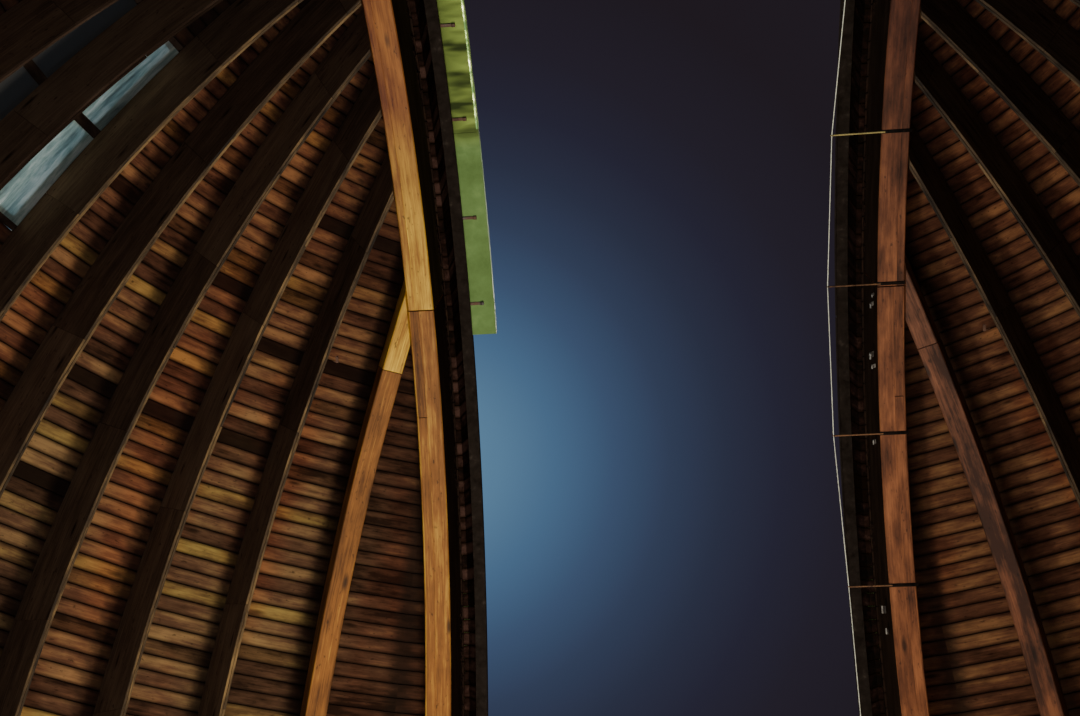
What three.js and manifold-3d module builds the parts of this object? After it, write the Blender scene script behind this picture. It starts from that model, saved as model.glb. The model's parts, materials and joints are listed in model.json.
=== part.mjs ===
// A small timber observatory dome with its round base wall, in millimetres, +Z up.
// The origin lies on the ground under the middle of the dome, and the slit faces +Y.
import * as THREE from "three";
import { mergeVertices } from "three/addons/utils/BufferGeometryUtils.js";
import Module from "manifold-3d";

// Main sizes of the dome, measured from its centre at springing height
const SPRING = 2950; // height of the dome's centre above the ground
const RIB_IN = 3800; // inner edge of the ribs
const BOARD_IN = 4180; // inner face of the boarding
const BOARD_THICK = 22;
const SKIN_THICK = 6;
const DRIP_PROUD = 32;
const SKIRT = 430; // boarding and skin hang this far below the springing
const FIT = 0.3; // gap between pieces that touch
const FACETS = 48; // flat bays round the dome, one from rib to rib
const RISE_STEP = 7.5; // degrees of elevation between two corners of a curved piece

// Ribs and braces
const BAY = 360 / FACETS;
const RIB_THICK = 26;
const BRACE_WIDE = 111;
const BRACE_DEEP = 120;
const BRACE_AT = 30; // degrees from the slit's middle

// The two main beams that border the slit, lying in planes parallel to it
const BEAM_NEAR = 1184; // side towards the slit
const BEAM_FAR = 1325; // side towards the ribs
const BEAM_IN = 3591;
const SLIT_LOW = 6; // degrees along the beam, from the front springing
const SLIT_HIGH = 100;

// Upstand round the slit, and its inward lip
const CURB_NEAR = 1145;
const CURB_THICK = 30;
const CURB_LOW = 4000;
const CURB_TOP = 4294;
const LIP_NEAR = 1077;
const LIP_THICK = 10;
const CROSS_THICK = 40;

// Sliding leaves of the shutter and the rails they roll on
const LEAF_IN = 4332;
const LEAF_THICK = 50;
const LEAF_WIDE = 1235;
const LEAF_SPLIT = 46; // degrees: the upper leaves end and the lower leaves begin here
const LEAF_TOP = 104;
const LEAF_GAP = 0.14;
const SHOWN_EDGE = 939; // free edge of the upper left leaf from the slit's middle
const OPEN_EDGE = 1085; // free edge of a leaf that is fully open
const RAIL_TOP = 4302;
const RAIL_DEEP = 60;
const RAIL_WIDE = 110;
const RAIL_REACH = 2420;
const ROLLER_R = 14.6;

// Window in the left of the dome
const WINDOW_BAYS = [67.5, 82.5];
const WINDOW_RISE = [38.2, 54.8];
const TRANSOM_AT = 46.6;

// Base wall, floor and doorway
const WALL_IN = 3780;
const WALL_OUT = 4080;
const WALL_TOP = 2550;
const FLOOR_THICK = 100;
const DOOR_WIDE = 1000;
const DOOR_HIGH = 2150;

// Rollers that carry the dome
const PLATE_THICK = 70;
const TRACK_RADIUS = 3920;
const TRACK_WIDE = 90;
const CURB_RING_DEEP = 160;
const TRACK_THICK = 20;
const WHEEL_R = 60;
const WHEEL_COUNT = 12;

const wasm = await Module();
wasm.setup();
const deg = THREE.MathUtils.degToRad;

// Turns a closed geometry into a solid, facing out.
function solid(geometry) {
  const bare = geometry.clone();
  bare.deleteAttribute("normal");
  bare.deleteAttribute("uv");
  const merged = mergeVertices(bare, 1e-3);
  const triVerts = new Uint32Array(merged.index.array);
  const vertProperties = merged.attributes.position.array;
  const made = new wasm.Manifold(new wasm.Mesh({ numProp: 3, vertProperties, triVerts }));
  if (made.volume() > 0) return made;
  for (let i = 0; i < triVerts.length; i += 3) {
    [triVerts[i + 1], triVerts[i + 2]] = [triVerts[i + 2], triVerts[i + 1]];
  }
  return new wasm.Manifold(new wasm.Mesh({ numProp: 3, vertProperties, triVerts }));
}

function geometryOf(made) {
  const mesh = made.getMesh();
  const geometry = new THREE.BufferGeometry();
  geometry.setAttribute("position", new THREE.BufferAttribute(new Float32Array(mesh.vertProperties), 3));
  geometry.setIndex(new THREE.BufferAttribute(new Uint32Array(mesh.triVerts), 1));
  geometry.computeVertexNormals();
  return geometry;
}

const join = (solids) => solids.reduce((sum, next) => sum.add(next));

// Radius, in a plane x from the middle, of a ball of radius r
const across = (r, x) => Math.sqrt(r * r - x * x);

// A closed outline turned once round the vertical axis; points are [radius, height].
function revolve(points) {
  const loop = [...points, points[0]].map(([r, z]) => new THREE.Vector2(r, z));
  const geometry = new THREE.LatheGeometry(loop, FACETS);
  geometry.rotateX(Math.PI / 2);
  return solid(geometry);
}

// Corners of a quarter circle of radius r from elevation a to b, on the common grid
function arcPoints(r, a, b) {
  const angles = [a];
  for (let next = (Math.floor(a / RISE_STEP + 1e-6) + 1) * RISE_STEP; next < b - 1e-6; next += RISE_STEP) {
    angles.push(next);
  }
  angles.push(b);
  return angles.map((angle) => [r * Math.cos(deg(angle)), r * Math.sin(deg(angle))]);
}

// The dome's shell between radii r0 and r1, with a straight skirt down to foot
function shell(r0, r1, foot) {
  const outer = arcPoints(r1, 0, 90).slice(0, -1);
  const inner = arcPoints(r0, 0, 90).slice(0, -1).reverse();
  return revolve([[r1, foot], ...outer, [0, r1], [0, r0], ...inner, [r0, foot]]);
}

// All that lies inside a faceted ball of radius r, down to foot
function ball(r, foot) {
  return revolve([[0, foot], [r, foot], ...arcPoints(r, 0, 90).slice(0, -1), [0, r]]);
}

// A block with two opposite corners
function block(low, high) {
  const size = high.map((value, i) => value - low[i]);
  const geometry = new THREE.BoxGeometry(...size);
  geometry.translate(...low.map((value, i) => value + size[i] / 2));
  return solid(geometry);
}

// An outline extruded from x0 to x1; its points are [forward, up].
function slab(points, x0, x1) {
  const shape = new THREE.Shape(points.map(([y, z]) => new THREE.Vector2(y, z)));
  const geometry = new THREE.ExtrudeGeometry(shape, { depth: x1 - x0, bevelEnabled: false });
  geometry.rotateX(Math.PI / 2);
  geometry.rotateZ(Math.PI / 2);
  geometry.translate(x0, 0, 0);
  return solid(geometry);
}

// Outline of a flat arc between two radii
function arcOutline(r0, r1, a, b) {
  return [...arcPoints(r1, a, b), ...arcPoints(r0, a, b).reverse()];
}

// A wedge of the room between two bearings, measured from +Y towards -X
function wedge(from, to, low = -1000, high = 5000) {
  const reach = 7000;
  const points = [[0, 0]];
  const steps = Math.ceil((to - from) / 45);
  for (let i = 0; i <= steps; i += 1) {
    const angle = deg(90 + from + ((to - from) * i) / steps);
    points.push([reach * Math.cos(angle), reach * Math.sin(angle)]);
  }
  const shape = new THREE.Shape(points.map(([x, y]) => new THREE.Vector2(x, y)));
  const geometry = new THREE.ExtrudeGeometry(shape, { depth: high - low, bevelEnabled: false });
  geometry.translate(0, 0, low);
  return solid(geometry);
}

// A rib: a flat arc stood in the upright plane at one bearing
function rib(bearing, thick, r0, r1) {
  return slab(arcOutline(r0, r1, 0, 88), -thick / 2, thick / 2).rotate([0, 0, bearing]);
}

// A block at one angle along the slit: x0 to x1 across, r0 to r1 outwards, w along the arc
function stationBlock(x0, x1, r0, r1, wide, angle, shift = 0) {
  const geometry = new THREE.BoxGeometry(x1 - x0, r1 - r0, wide);
  geometry.translate((x0 + x1) / 2, (r0 + r1) / 2, shift);
  geometry.rotateX(deg(angle));
  return solid(geometry);
}

// Mirrors a solid from the left to the right of the slit
const mirrored = (made) => made.mirror([1, 0, 0]);

// Solids that cut the others
const insideBoards = ball(BOARD_IN - FIT, -600);
const outsideSkin = ball(BOARD_IN + BOARD_THICK + FIT + SKIN_THICK + FIT, -600);
const curbFar = CURB_NEAR + CURB_THICK + FIT;
const crossRoom = (angle, shift) => stationBlock(-curbFar, curbFar, 3000, 6000, CROSS_THICK + 2 * FIT, angle, shift);
const sillRoom = crossRoom(SLIT_LOW, -CROSS_THICK / 2);
const headerRoom = crossRoom(SLIT_HIGH, CROSS_THICK / 2);
const slitCut = join([
  slab([[0, 0], ...arcPoints(6000, SLIT_LOW, SLIT_HIGH)], -curbFar, curbFar),
  sillRoom,
  headerRoom,
]);
const windowCut = revolve([
  ...[3000, 5000].map((r) => arcPoints(r, WINDOW_RISE[0], WINDOW_RISE[0] + 1)[0]),
  ...[5000, 3000].map((r) => arcPoints(r, WINDOW_RISE[1], WINDOW_RISE[1] + 1)[0]),
]).intersect(wedge(WINDOW_BAYS[0], WINDOW_BAYS[1]));

const root = new THREE.Group();
const dome = new THREE.Group();
dome.position.z = SPRING;
root.add(dome);

const finishes = {
  boards: ["#6e431d", 0.75, 0],
  ribs: ["#6a4422", 0.7, 0],
  beams: ["#93591f", 0.6, 0],
  sheet: ["#8fae6c", 0.5, 0.3],
  skin: ["#8b9591", 0.45, 0.6],
  iron: ["#3b3632", 0.6, 0.7],
  plaster: ["#c9c3b4", 0.9, 0],
  concrete: ["#8f8c86", 0.9, 0],
  glass: ["#7ea3ad", 0.1, 0],
  paint: ["#3f4a3c", 0.6, 0],
};

// Adds a named mesh to a group.
function add(group, name, made, finish, place = [0, 0, 0]) {
  const [color, roughness, metalness] = finishes[finish];
  const material = new THREE.MeshStandardMaterial({ color, roughness, metalness });
  const mesh = new THREE.Mesh(geometryOf(made), material);
  mesh.name = name;
  mesh.position.set(...place);
  group.add(mesh);
}

// Base wall in four lengths, with a doorway at the back
const doorCut = block([-DOOR_WIDE / 2, -5000, -1], [DOOR_WIDE / 2, 0, 5000]);
const wallRing = revolve([[WALL_IN, 0], [WALL_OUT, 0], [WALL_OUT, WALL_TOP], [WALL_IN, WALL_TOP]]);
const wallLengths = [
  ["wall_front_left", 0, 90],
  ["wall_rear_left", 90, 180],
  ["wall_rear_right", 180, 270],
  ["wall_front_right", 270, 360],
];
for (const [name, from, to] of wallLengths) {
  const trim = FIT / 2 / (WALL_IN * deg(1));
  add(root, name, wallRing.intersect(wedge(from + trim, to - trim)).subtract(doorCut), "plaster");
}
const half = DOOR_WIDE / 2 - FIT;
const lintelBox = block([-half, -5000, DOOR_HIGH], [half, 0, WALL_TOP + 1]);
add(root, "wall_over_door", wallRing.intersect(lintelBox), "plaster");

// Floor with the door's step
const floorDisc = revolve([[0, 0], [WALL_IN - FIT, 0], [WALL_IN - FIT, FLOOR_THICK], [0, FLOOR_THICK]]);
const step = block([-half, -4040, 0], [half, -3700, FLOOR_THICK]);
add(root, "floor", floorDisc.add(step), "concrete");

// Door frame and door, closed
const frameBar = 60;
const frameBack = -3990;
const frameFront = -3870;
const frameOuter = block([-half, frameBack, FLOOR_THICK + FIT], [half, frameFront, DOOR_HIGH - FIT]);
const frameHole = block(
  [-half + frameBar, frameBack - 10, 0],
  [half - frameBar, frameFront + 10, DOOR_HIGH - FIT - frameBar],
);
add(root, "door_frame", frameOuter.subtract(frameHole), "paint");
const doorEdge = half - frameBar;
const doorLeaf = block(
  [-doorEdge + FIT, frameBack + 20, FLOOR_THICK + 6],
  [doorEdge - 3, frameBack + 65, DOOR_HIGH - frameBar - 4],
);
add(root, "door", doorLeaf, "paint");

// Timber plate on the wall, and the steel bed with its wheels
const plateTop = WALL_TOP + PLATE_THICK;
const wallPlate = revolve([
  [WALL_IN + 30, WALL_TOP + FIT],
  [WALL_OUT - 20, WALL_TOP + FIT],
  [WALL_OUT - 20, plateTop],
  [WALL_IN + 30, plateTop],
]);
add(root, "wall_plate", wallPlate, "beams");

const trackUnder = SPRING - CURB_RING_DEEP - TRACK_THICK - FIT;
const wheelHeight = trackUnder - 0.5 - WHEEL_R;
const bedTop = plateTop + FIT + 10;
const bed = revolve([
  [TRACK_RADIUS - 80, plateTop + FIT],
  [TRACK_RADIUS + 80, plateTop + FIT],
  [TRACK_RADIUS + 80, bedTop],
  [TRACK_RADIUS - 80, bedTop],
]);
const wheels = [];
for (let i = 0; i < WHEEL_COUNT; i += 1) {
  const tyre = new THREE.CylinderGeometry(WHEEL_R, WHEEL_R, 50, 12);
  tyre.rotateZ(Math.PI / 2);
  const parts = [solid(tyre)];
  for (const side of [-1, 1]) {
    const cheek = new THREE.BoxGeometry(12, 70, wheelHeight - bedTop + 22);
    cheek.translate(side * 29, 0, (bedTop - 2 - wheelHeight + 20) / 2);
    parts.push(solid(cheek));
  }
  const wheel = join(parts).translate([TRACK_RADIUS, 0, wheelHeight]);
  wheels.push(wheel.rotate([0, 0, (360 / WHEEL_COUNT) * (i + 0.5)]));
}
add(root, "wheel_bed", join([bed, ...wheels]), "iron");

// Timber ring at the foot of the dome, with the flat steel track under it
const curbRing = revolve([
  [RIB_IN - 10, -CURB_RING_DEEP],
  [BOARD_IN - FIT, -CURB_RING_DEEP],
  [BOARD_IN - FIT, 0],
  [RIB_IN - 10, 0],
]);
add(dome, "foot_ring", curbRing, "beams");
const track = revolve([
  [TRACK_RADIUS - TRACK_WIDE / 2, -CURB_RING_DEEP - TRACK_THICK - FIT],
  [TRACK_RADIUS + TRACK_WIDE / 2, -CURB_RING_DEEP - TRACK_THICK - FIT],
  [TRACK_RADIUS + TRACK_WIDE / 2, -CURB_RING_DEEP - FIT],
  [TRACK_RADIUS - TRACK_WIDE / 2, -CURB_RING_DEEP - FIT],
]);
add(dome, "track", track, "iron");

// Main beams from springing to springing
const beamLeft = slab(arcOutline(BEAM_IN, BOARD_IN, 0, 180), -BEAM_FAR, -BEAM_NEAR)
  .intersect(insideBoards)
  .subtract(block([-5000, -5000, -1000], [5000, 5000, FIT]));
add(dome, "main_beam_left", beamLeft, "beams");
add(dome, "main_beam_right", mirrored(beamLeft), "beams");

// Ribs of each side in three groups, each standing on its length of sole plate
const beamZone = block([-BEAM_FAR - FIT, -5000, -1000], [BEAM_FAR + FIT, 5000, 5000]);
const belowSole = block([-5000, -5000, -1000], [5000, 5000, FIT]);
const soleThick = 40;
const soleRing = revolve([
  [RIB_IN + 20, 0],
  [BOARD_IN, 0],
  [BOARD_IN, soleThick],
  [RIB_IN + 20, soleThick],
]).intersect(insideBoards);
const ribOut = BOARD_IN - RIB_THICK * 0.05 - FIT; // clears the flat bays of the boarding
const ribGroups = [
  ["front", 5],
  ["middle", 10],
  ["rear", 15],
];
for (const [name, first] of ribGroups) {
  const bearings = [0, 1, 2, 3, 4].map((i) => (first + i) * BAY);
  const sole = soleRing.intersect(wedge(bearings[0] - BAY / 2, bearings[4] + BAY / 2 - 0.01));
  const ribs = bearings.map((bearing) => rib(bearing, RIB_THICK, RIB_IN, ribOut));
  const group = join([...ribs, sole]).subtract(beamZone).subtract(belowSole);
  add(dome, `ribs_${name}_left`, group, "ribs");
  add(dome, `ribs_${name}_right`, mirrored(group), "ribs");
}

// Braces that lean from the foot ring to the main beams
for (const [name, bearing] of [["front", BRACE_AT], ["rear", 180 - BRACE_AT]]) {
  const brace = rib(bearing, BRACE_WIDE, RIB_IN, RIB_IN + BRACE_DEEP)
    .subtract(beamZone)
    .subtract(belowSole);
  add(dome, `brace_${name}_left`, brace, "beams");
  add(dome, `brace_${name}_right`, mirrored(brace), "beams");
}

// Arched ribs between the main beams, from the back of the slit down to the foot ring
const rearPlaces = [-592, 0, 592];
const rearFoot = soleRing.intersect(block([-1500, -5000, 0], [1500, 0, 100]));
const betweenBeams = block([-BEAM_NEAR + FIT, -5000, FIT], [BEAM_NEAR - FIT, 5000, 5000]);
const rearArcs = rearPlaces.map((x) => {
  const outline = arcOutline(across(RIB_IN, x), BOARD_IN, SLIT_HIGH, 180);
  return slab(outline, x - 20, x + 20);
});
const rearRibs = join([...rearArcs, rearFoot]).intersect(insideBoards).intersect(betweenBeams).subtract(headerRoom);
add(dome, "ribs_behind_slit", rearRibs, "ribs");

// Cross pieces at the foot and the back of the slit
const crossHalf = CURB_NEAR - FIT;
const sill = stationBlock(-crossHalf, crossHalf, 3930, CURB_TOP, CROSS_THICK, SLIT_LOW, -CROSS_THICK / 2);
add(dome, "slit_sill", sill, "beams");
const header = stationBlock(-crossHalf, crossHalf, 3850, CURB_TOP, CROSS_THICK, SLIT_HIGH, CROSS_THICK / 2);
add(dome, "slit_header", header, "beams");

// Short studs under the sill, on the foot ring
const frontFoot = soleRing.intersect(block([-1500, 0, 0], [1500, 5000, 100]));
const studs = [-2, -1, 0, 1, 2].map((i) => rib(i * BAY, RIB_THICK, 3900, ribOut));
const aboveSill = slab([[0, 0], ...arcPoints(6000, SLIT_LOW - 0.1, 170)], -2000, 2000);
const front = join([...studs, frontFoot])
  .intersect(betweenBeams)
  .subtract(aboveSill)
  .subtract(sillRoom);
add(dome, "studs_under_slit", front, "ribs");

// Boarding and outer skin in quarters, cut for the slit and the window
const boards = shell(BOARD_IN, BOARD_IN + BOARD_THICK, -SKIRT)
  .subtract(slitCut)
  .subtract(windowCut);
const skinIn = BOARD_IN + BOARD_THICK + FIT;
const skin = shell(skinIn, skinIn + SKIN_THICK, -SKIRT)
  .subtract(slitCut)
  .subtract(windowCut);
const quarters = [
  ["front_left", 0],
  ["rear_left", 90],
  ["rear_right", 180],
  ["front_right", 270],
];
for (const [name, from] of quarters) {
  const trim = 0.003;
  const sector = wedge(from + trim, from + 90 - trim);
  add(dome, `boarding_${name}`, boards.intersect(sector), "boards");
  add(dome, `skin_${name}`, skin.intersect(sector), "skin");
}

// Drip band round the foot of the skin
const skinOut = skinIn + SKIN_THICK + FIT;
const dripBand = revolve([
  [skinOut, -SKIRT],
  [skinOut + DRIP_PROUD, -SKIRT],
  [skinOut + DRIP_PROUD, -SKIRT + 12],
  [skinOut + 6, -SKIRT + 45],
  [skinOut, -SKIRT + 45],
]);
add(dome, "drip_band", dripBand, "skin");

// Upstands along the slit with an inward lip on top
const curbLow = SLIT_LOW - 0.53;
const curbHigh = SLIT_HIGH + 0.53;
const curbBoard = slab(arcOutline(CURB_LOW, CURB_TOP, curbLow, curbHigh), -CURB_NEAR - CURB_THICK, -CURB_NEAR);
const lip = slab(arcOutline(CURB_TOP - LIP_THICK, CURB_TOP, curbLow + 1, curbHigh - 1), -CURB_NEAR - 5, -LIP_NEAR);
const curbLeft = curbBoard.add(lip);
add(dome, "slit_upstand_left", curbLeft, "beams");
add(dome, "slit_upstand_right", mirrored(curbLeft), "beams");

// Window frame with two bays and a transom, and its sheet of glass
const glassIn = BOARD_IN + 1;
const windowShell = (r0, r1, low, high, from, to) => {
  const band = revolve([...arcPoints(r0, low, high), ...arcPoints(r1, low, high).reverse()]);
  return band.intersect(wedge(from, to));
};
const [bayLow, bayHigh] = WINDOW_BAYS;
const [riseLow, riseHigh] = WINDOW_RISE;
const glass = windowShell(glassIn, glassIn + 4, riseLow + 0.02, riseHigh - 0.02, bayLow + 0.02, bayHigh - 0.02);
add(dome, "window_glass", glass, "glass");
const frameIn = glassIn + 4 + FIT;
const barRise = 0.75;
const barBay = 0.8;
const middle = (bayLow + bayHigh) / 2;
const panes = [];
for (const [from, to] of [[bayLow, middle], [middle, bayHigh]]) {
  for (const [low, high] of [[riseLow, TRANSOM_AT], [TRANSOM_AT, riseHigh]]) {
    panes.push(windowShell(4000, 4400, low + barRise, high - barRise, from + barBay, to - barBay));
  }
}
const frameShell = windowShell(frameIn, frameIn + 34, riseLow + 0.02, riseHigh - 0.02, bayLow + 0.02, bayHigh - 0.02);
add(dome, "window_frame", frameShell.subtract(join(panes)), "paint");

// Rails across the dome, on posts that stand on the skin
function railPosts(places, angle, shift) {
  const posts = places.map((x) => stationBlock(x - 25, x + 25, 3000, RAIL_TOP - RAIL_DEEP / 2, 50, angle, shift));
  return join(posts).subtract(outsideSkin);
}
function rail(x0, x1, places, angle, shift = 0) {
  const bar = stationBlock(x0, x1, RAIL_TOP - RAIL_DEEP, RAIL_TOP, RAIL_WIDE, angle, shift);
  return bar.add(railPosts(places, angle, shift));
}
const outward = [1260, 1800, 2370];
const bothWays = [...outward.map((x) => -x), ...outward];
add(dome, "rail_below_slit", rail(-RAIL_REACH, RAIL_REACH, bothWays, SLIT_LOW - 2.2), "iron");
add(dome, "rail_behind_slit", rail(-RAIL_REACH, RAIL_REACH, bothWays, LEAF_TOP - 1), "iron");
const sideRail = rail(-RAIL_REACH, -CURB_NEAR - CURB_THICK - FIT, outward.map((x) => -x), LEAF_SPLIT);
add(dome, "rail_beside_slit_left", sideRail, "iron");
add(dome, "rail_beside_slit_right", mirrored(sideRail), "iron");

// Leaves: each a curved panel with a roller at its corners, drawn with its free edge at x = 0
function leaf(low, high, stations) {
  const panel = slab(arcOutline(LEAF_IN, LEAF_IN + LEAF_THICK, low, high), -LEAF_WIDE, 0);
  const parts = [panel];
  for (const [angle, places] of stations) {
    for (const x of places) {
      const wheel = new THREE.CylinderGeometry(ROLLER_R, ROLLER_R, 30, 12);
      wheel.rotateX(Math.PI / 2);
      wheel.translate(x, RAIL_TOP + 0.5 + ROLLER_R, 0);
      wheel.rotateX(deg(angle));
      parts.push(solid(wheel));
      parts.push(stationBlock(x - 20, x + 20, RAIL_TOP + 0.5 + ROLLER_R, LEAF_IN + 10, 30, angle));
    }
  }
  return join(parts);
}
const railHalf = 0.4; // degrees from the middle of a rail to a leaf's rollers on it
const upperLeaf = leaf(LEAF_SPLIT + LEAF_GAP / 2, LEAF_TOP, [
  [LEAF_SPLIT + railHalf, [-LEAF_WIDE + 40]],
  [LEAF_TOP - 1, [-LEAF_WIDE + 40, -60]],
]);
const lowerLeaf = leaf(SLIT_LOW - 3, LEAF_SPLIT - LEAF_GAP / 2, [
  [SLIT_LOW - 2.2, [-LEAF_WIDE + 40, -60]],
  [LEAF_SPLIT - railHalf, [-LEAF_WIDE + 40]],
]);
add(dome, "leaf_upper_left", upperLeaf, "sheet", [-SHOWN_EDGE, 0, 0]);
add(dome, "leaf_upper_right", mirrored(upperLeaf), "sheet", [OPEN_EDGE, 0, 0]);
add(dome, "leaf_lower_left", lowerLeaf, "sheet", [-OPEN_EDGE, 0, 0]);
add(dome, "leaf_lower_right", mirrored(lowerLeaf), "sheet", [OPEN_EDGE, 0, 0]);

// Wire along the right of the slit, stretched over iron arms on the beam
const ARM_PITCH = 12.95;
const ARM_MIDDLE = 50.8;
const armAngles = [-3, -2, -1, 0, 1, 2, 3].map((i) => ARM_MIDDLE + i * ARM_PITCH);
const wireAt = (angle) => 923 + Math.min(0.075 * (angle - ARM_MIDDLE) ** 2, 47);
const wireR = BEAM_IN - FIT - 12;
const beamFace = slab(arcOutline(BEAM_IN - FIT, BEAM_IN + 500, 0, 180), 0, 2000);
const arms = armAngles.map((angle) => {
  return stationBlock(wireAt(angle) - 8, BEAM_FAR, wireR, BEAM_IN + 5, 14, angle).subtract(beamFace);
});
const wires = [];
const ends = [8, ...armAngles, 98];
for (let i = 1; i < ends.length; i += 1) {
  const [from, to] = [ends[i - 1], ends[i]].map((angle) => {
    const r = wireR + 4;
    return new THREE.Vector3(wireAt(angle), r * Math.cos(deg(angle)), r * Math.sin(deg(angle)));
  });
  const section = new THREE.Shape();
  section.absarc(0, 0, 3, 0, Math.PI * 2);
  const path = new THREE.LineCurve3(from, to);
  const tube = new THREE.ExtrudeGeometry(section, { steps: 1, bevelEnabled: false, extrudePath: path, curveSegments: 4 });
  wires.push(solid(tube));
}
add(dome, "slit_wire", join([...arms, ...wires]), "iron");

export default root;
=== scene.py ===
# %% [markdown]
# # An observatory dome of timber and zinc
# The dome turns on wheels that stand on a round plastered wall. Inside it is plain carpentry: two heavy
# beams border the open slit, thin ribs stand behind narrow boards, and a sheet-metal leaf slides over the slit.
# The sizes were settled in CAD, so this script only dresses the solids: it loads them as a fixed frame, in
# metres, and puts a finer piece in the place of each one whose shape or surface has more to tell.

# %% Load the frame
import json
import math

import bpy
import numpy as np
from mathutils import Matrix, Vector

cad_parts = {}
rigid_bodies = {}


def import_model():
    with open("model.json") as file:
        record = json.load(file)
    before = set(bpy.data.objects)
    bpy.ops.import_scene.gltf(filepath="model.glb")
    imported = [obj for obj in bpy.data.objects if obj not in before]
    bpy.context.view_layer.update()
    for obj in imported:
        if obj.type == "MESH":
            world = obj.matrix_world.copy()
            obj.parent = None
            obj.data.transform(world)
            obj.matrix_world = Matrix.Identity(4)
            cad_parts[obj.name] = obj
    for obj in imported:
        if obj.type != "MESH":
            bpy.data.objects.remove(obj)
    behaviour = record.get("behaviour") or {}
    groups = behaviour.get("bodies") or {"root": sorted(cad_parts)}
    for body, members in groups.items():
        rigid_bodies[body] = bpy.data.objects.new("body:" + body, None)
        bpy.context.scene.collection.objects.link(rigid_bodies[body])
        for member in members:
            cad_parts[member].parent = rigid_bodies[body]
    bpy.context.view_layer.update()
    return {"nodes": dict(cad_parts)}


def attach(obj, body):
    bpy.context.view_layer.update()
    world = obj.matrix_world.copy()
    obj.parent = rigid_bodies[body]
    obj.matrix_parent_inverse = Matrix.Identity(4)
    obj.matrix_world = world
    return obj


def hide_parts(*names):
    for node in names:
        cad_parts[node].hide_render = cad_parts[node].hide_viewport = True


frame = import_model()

# %% [markdown]
# ## The camera
# The view is from low inside the dome, up through the slit. Its place and its lens were worked out from the
# photograph, by fitting the beams, the ribs and the slit's edges to it, so they are plain numbers here. A matrix
# built from three directions is surer than turning the camera by angles, because each column can be checked.

# %% Camera
CENTRE = Vector((0, 0, 2.95))  # the middle of the dome's ball, at springing height
sideways, upwards, tilt = -0.0973, 0.6071, 0.0070
ahead = Vector((math.sin(sideways) * math.cos(upwards), math.cos(sideways) * math.cos(upwards), math.sin(upwards)))
level = Vector((math.cos(sideways), -math.sin(sideways), 0))
above = level.cross(ahead)
right = level * math.cos(tilt) + above * math.sin(tilt)
top = above * math.cos(tilt) - level * math.sin(tilt)
lens = bpy.data.cameras.new("camera")
lens.sensor_width = 36
lens.lens = 42.243
lens.clip_start = 0.05
camera = bpy.data.objects.new("camera", lens)
bpy.context.collection.objects.link(camera)
camera.matrix_world = Matrix((
    (right.x, top.x, -ahead.x, -0.0733),
    (right.y, top.y, -ahead.y, -3.1350),
    (right.z, top.z, -ahead.z, 1.5900),
    (0, 0, 0, 1),
))
bpy.context.scene.camera = camera
print("camera looks up at", round(math.degrees(upwards), 1), "degrees")

# %% [markdown]
# ## Colours and nodes
# A hex colour from a picture is coded for a screen, and Blender mixes light in linear numbers, so one function
# turns hex into linear. Another adds a node to a material with its settings, its values and its links at once,
# which keeps each material readable from top to bottom.

# %% Colour and node helpers
def linear(code):
    parts = [int(code[i:i + 2], 16) / 255 for i in (1, 3, 5)]
    return (*[c / 12.92 if c <= 0.04045 else ((c + 0.055) / 1.055) ** 2.4 for c in parts], 1.0)


def node(material, kind, inputs=None, **settings):
    """Adds one node; an input is a plain value or another node's output to link."""
    tree = material.node_tree
    made = tree.nodes.new(kind)
    for name, value in settings.items():
        setattr(made, name, value)
    for socket, value in (inputs or {}).items():
        if isinstance(value, bpy.types.NodeSocket):
            tree.links.new(value, made.inputs[socket])
        else:
            made.inputs[socket].default_value = value
    return made


def new_material(name):
    material = bpy.data.materials.new(name)
    material.use_nodes = True
    return material, material.node_tree.nodes["Principled BSDF"]


def set_stops(ramp, stops):
    """Sets a colour ramp's stops from (place, hex or grey value) pairs."""
    elements = ramp.color_ramp.elements
    while len(elements) > 1:
        elements.remove(elements[-1])
    for i, (place, value) in enumerate(stops):
        stop = elements[0] if i == 0 else elements.new(place)
        stop.position = place
        stop.color = linear(value) if isinstance(value, str) else (value, value, value, 1)


print("#8a5a22 in linear numbers:", [round(c, 3) for c in linear("#8a5a22")])

# %% [markdown]
# ## Floor, sky and light
# The stage is a plain pale floor under a dusk sky. A warm soft lamp low in the front left of the dome lights the
# boards as in the photograph, and three soft suns outside show the walls, the skin and the leaves from any side.
# At the end of the script the suns are linked to the outer pieces only, so that no patch of sun falls inside.

# %% Stage
def clear_selection():
    if bpy.context.mode != "OBJECT":
        bpy.ops.object.mode_set(mode="OBJECT")
    bpy.ops.object.select_all(action="DESELECT")


clear_selection()
bpy.ops.mesh.primitive_circle_add(vertices=96, radius=140, fill_type="NGON", location=(0, 0, -0.004))
ground = bpy.context.object
ground.name = "stage_floor"
bpy.ops.object.transform_apply()
pale, pale_shader = new_material("matt_pale_floor")
speckle = node(pale, "ShaderNodeTexNoise", {"Scale": 3.0, "Detail": 4.0})
shades = node(pale, "ShaderNodeValToRGB", {"Fac": speckle.outputs["Fac"]})
set_stops(shades, [(0.3, "#aeaca6"), (0.7, "#b5b3ad")])
pale.node_tree.links.new(shades.outputs[0], pale_shader.inputs["Base Color"])
pale_shader.inputs["Roughness"].default_value = 0.9
ground.data.materials.append(pale)

# %% Sky
sky = bpy.data.worlds.new("dusk_sky")
sky.use_nodes = True
bpy.context.scene.world = sky
background = sky.node_tree.nodes["Background"]
place = node(sky, "ShaderNodeTexCoord")
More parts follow.
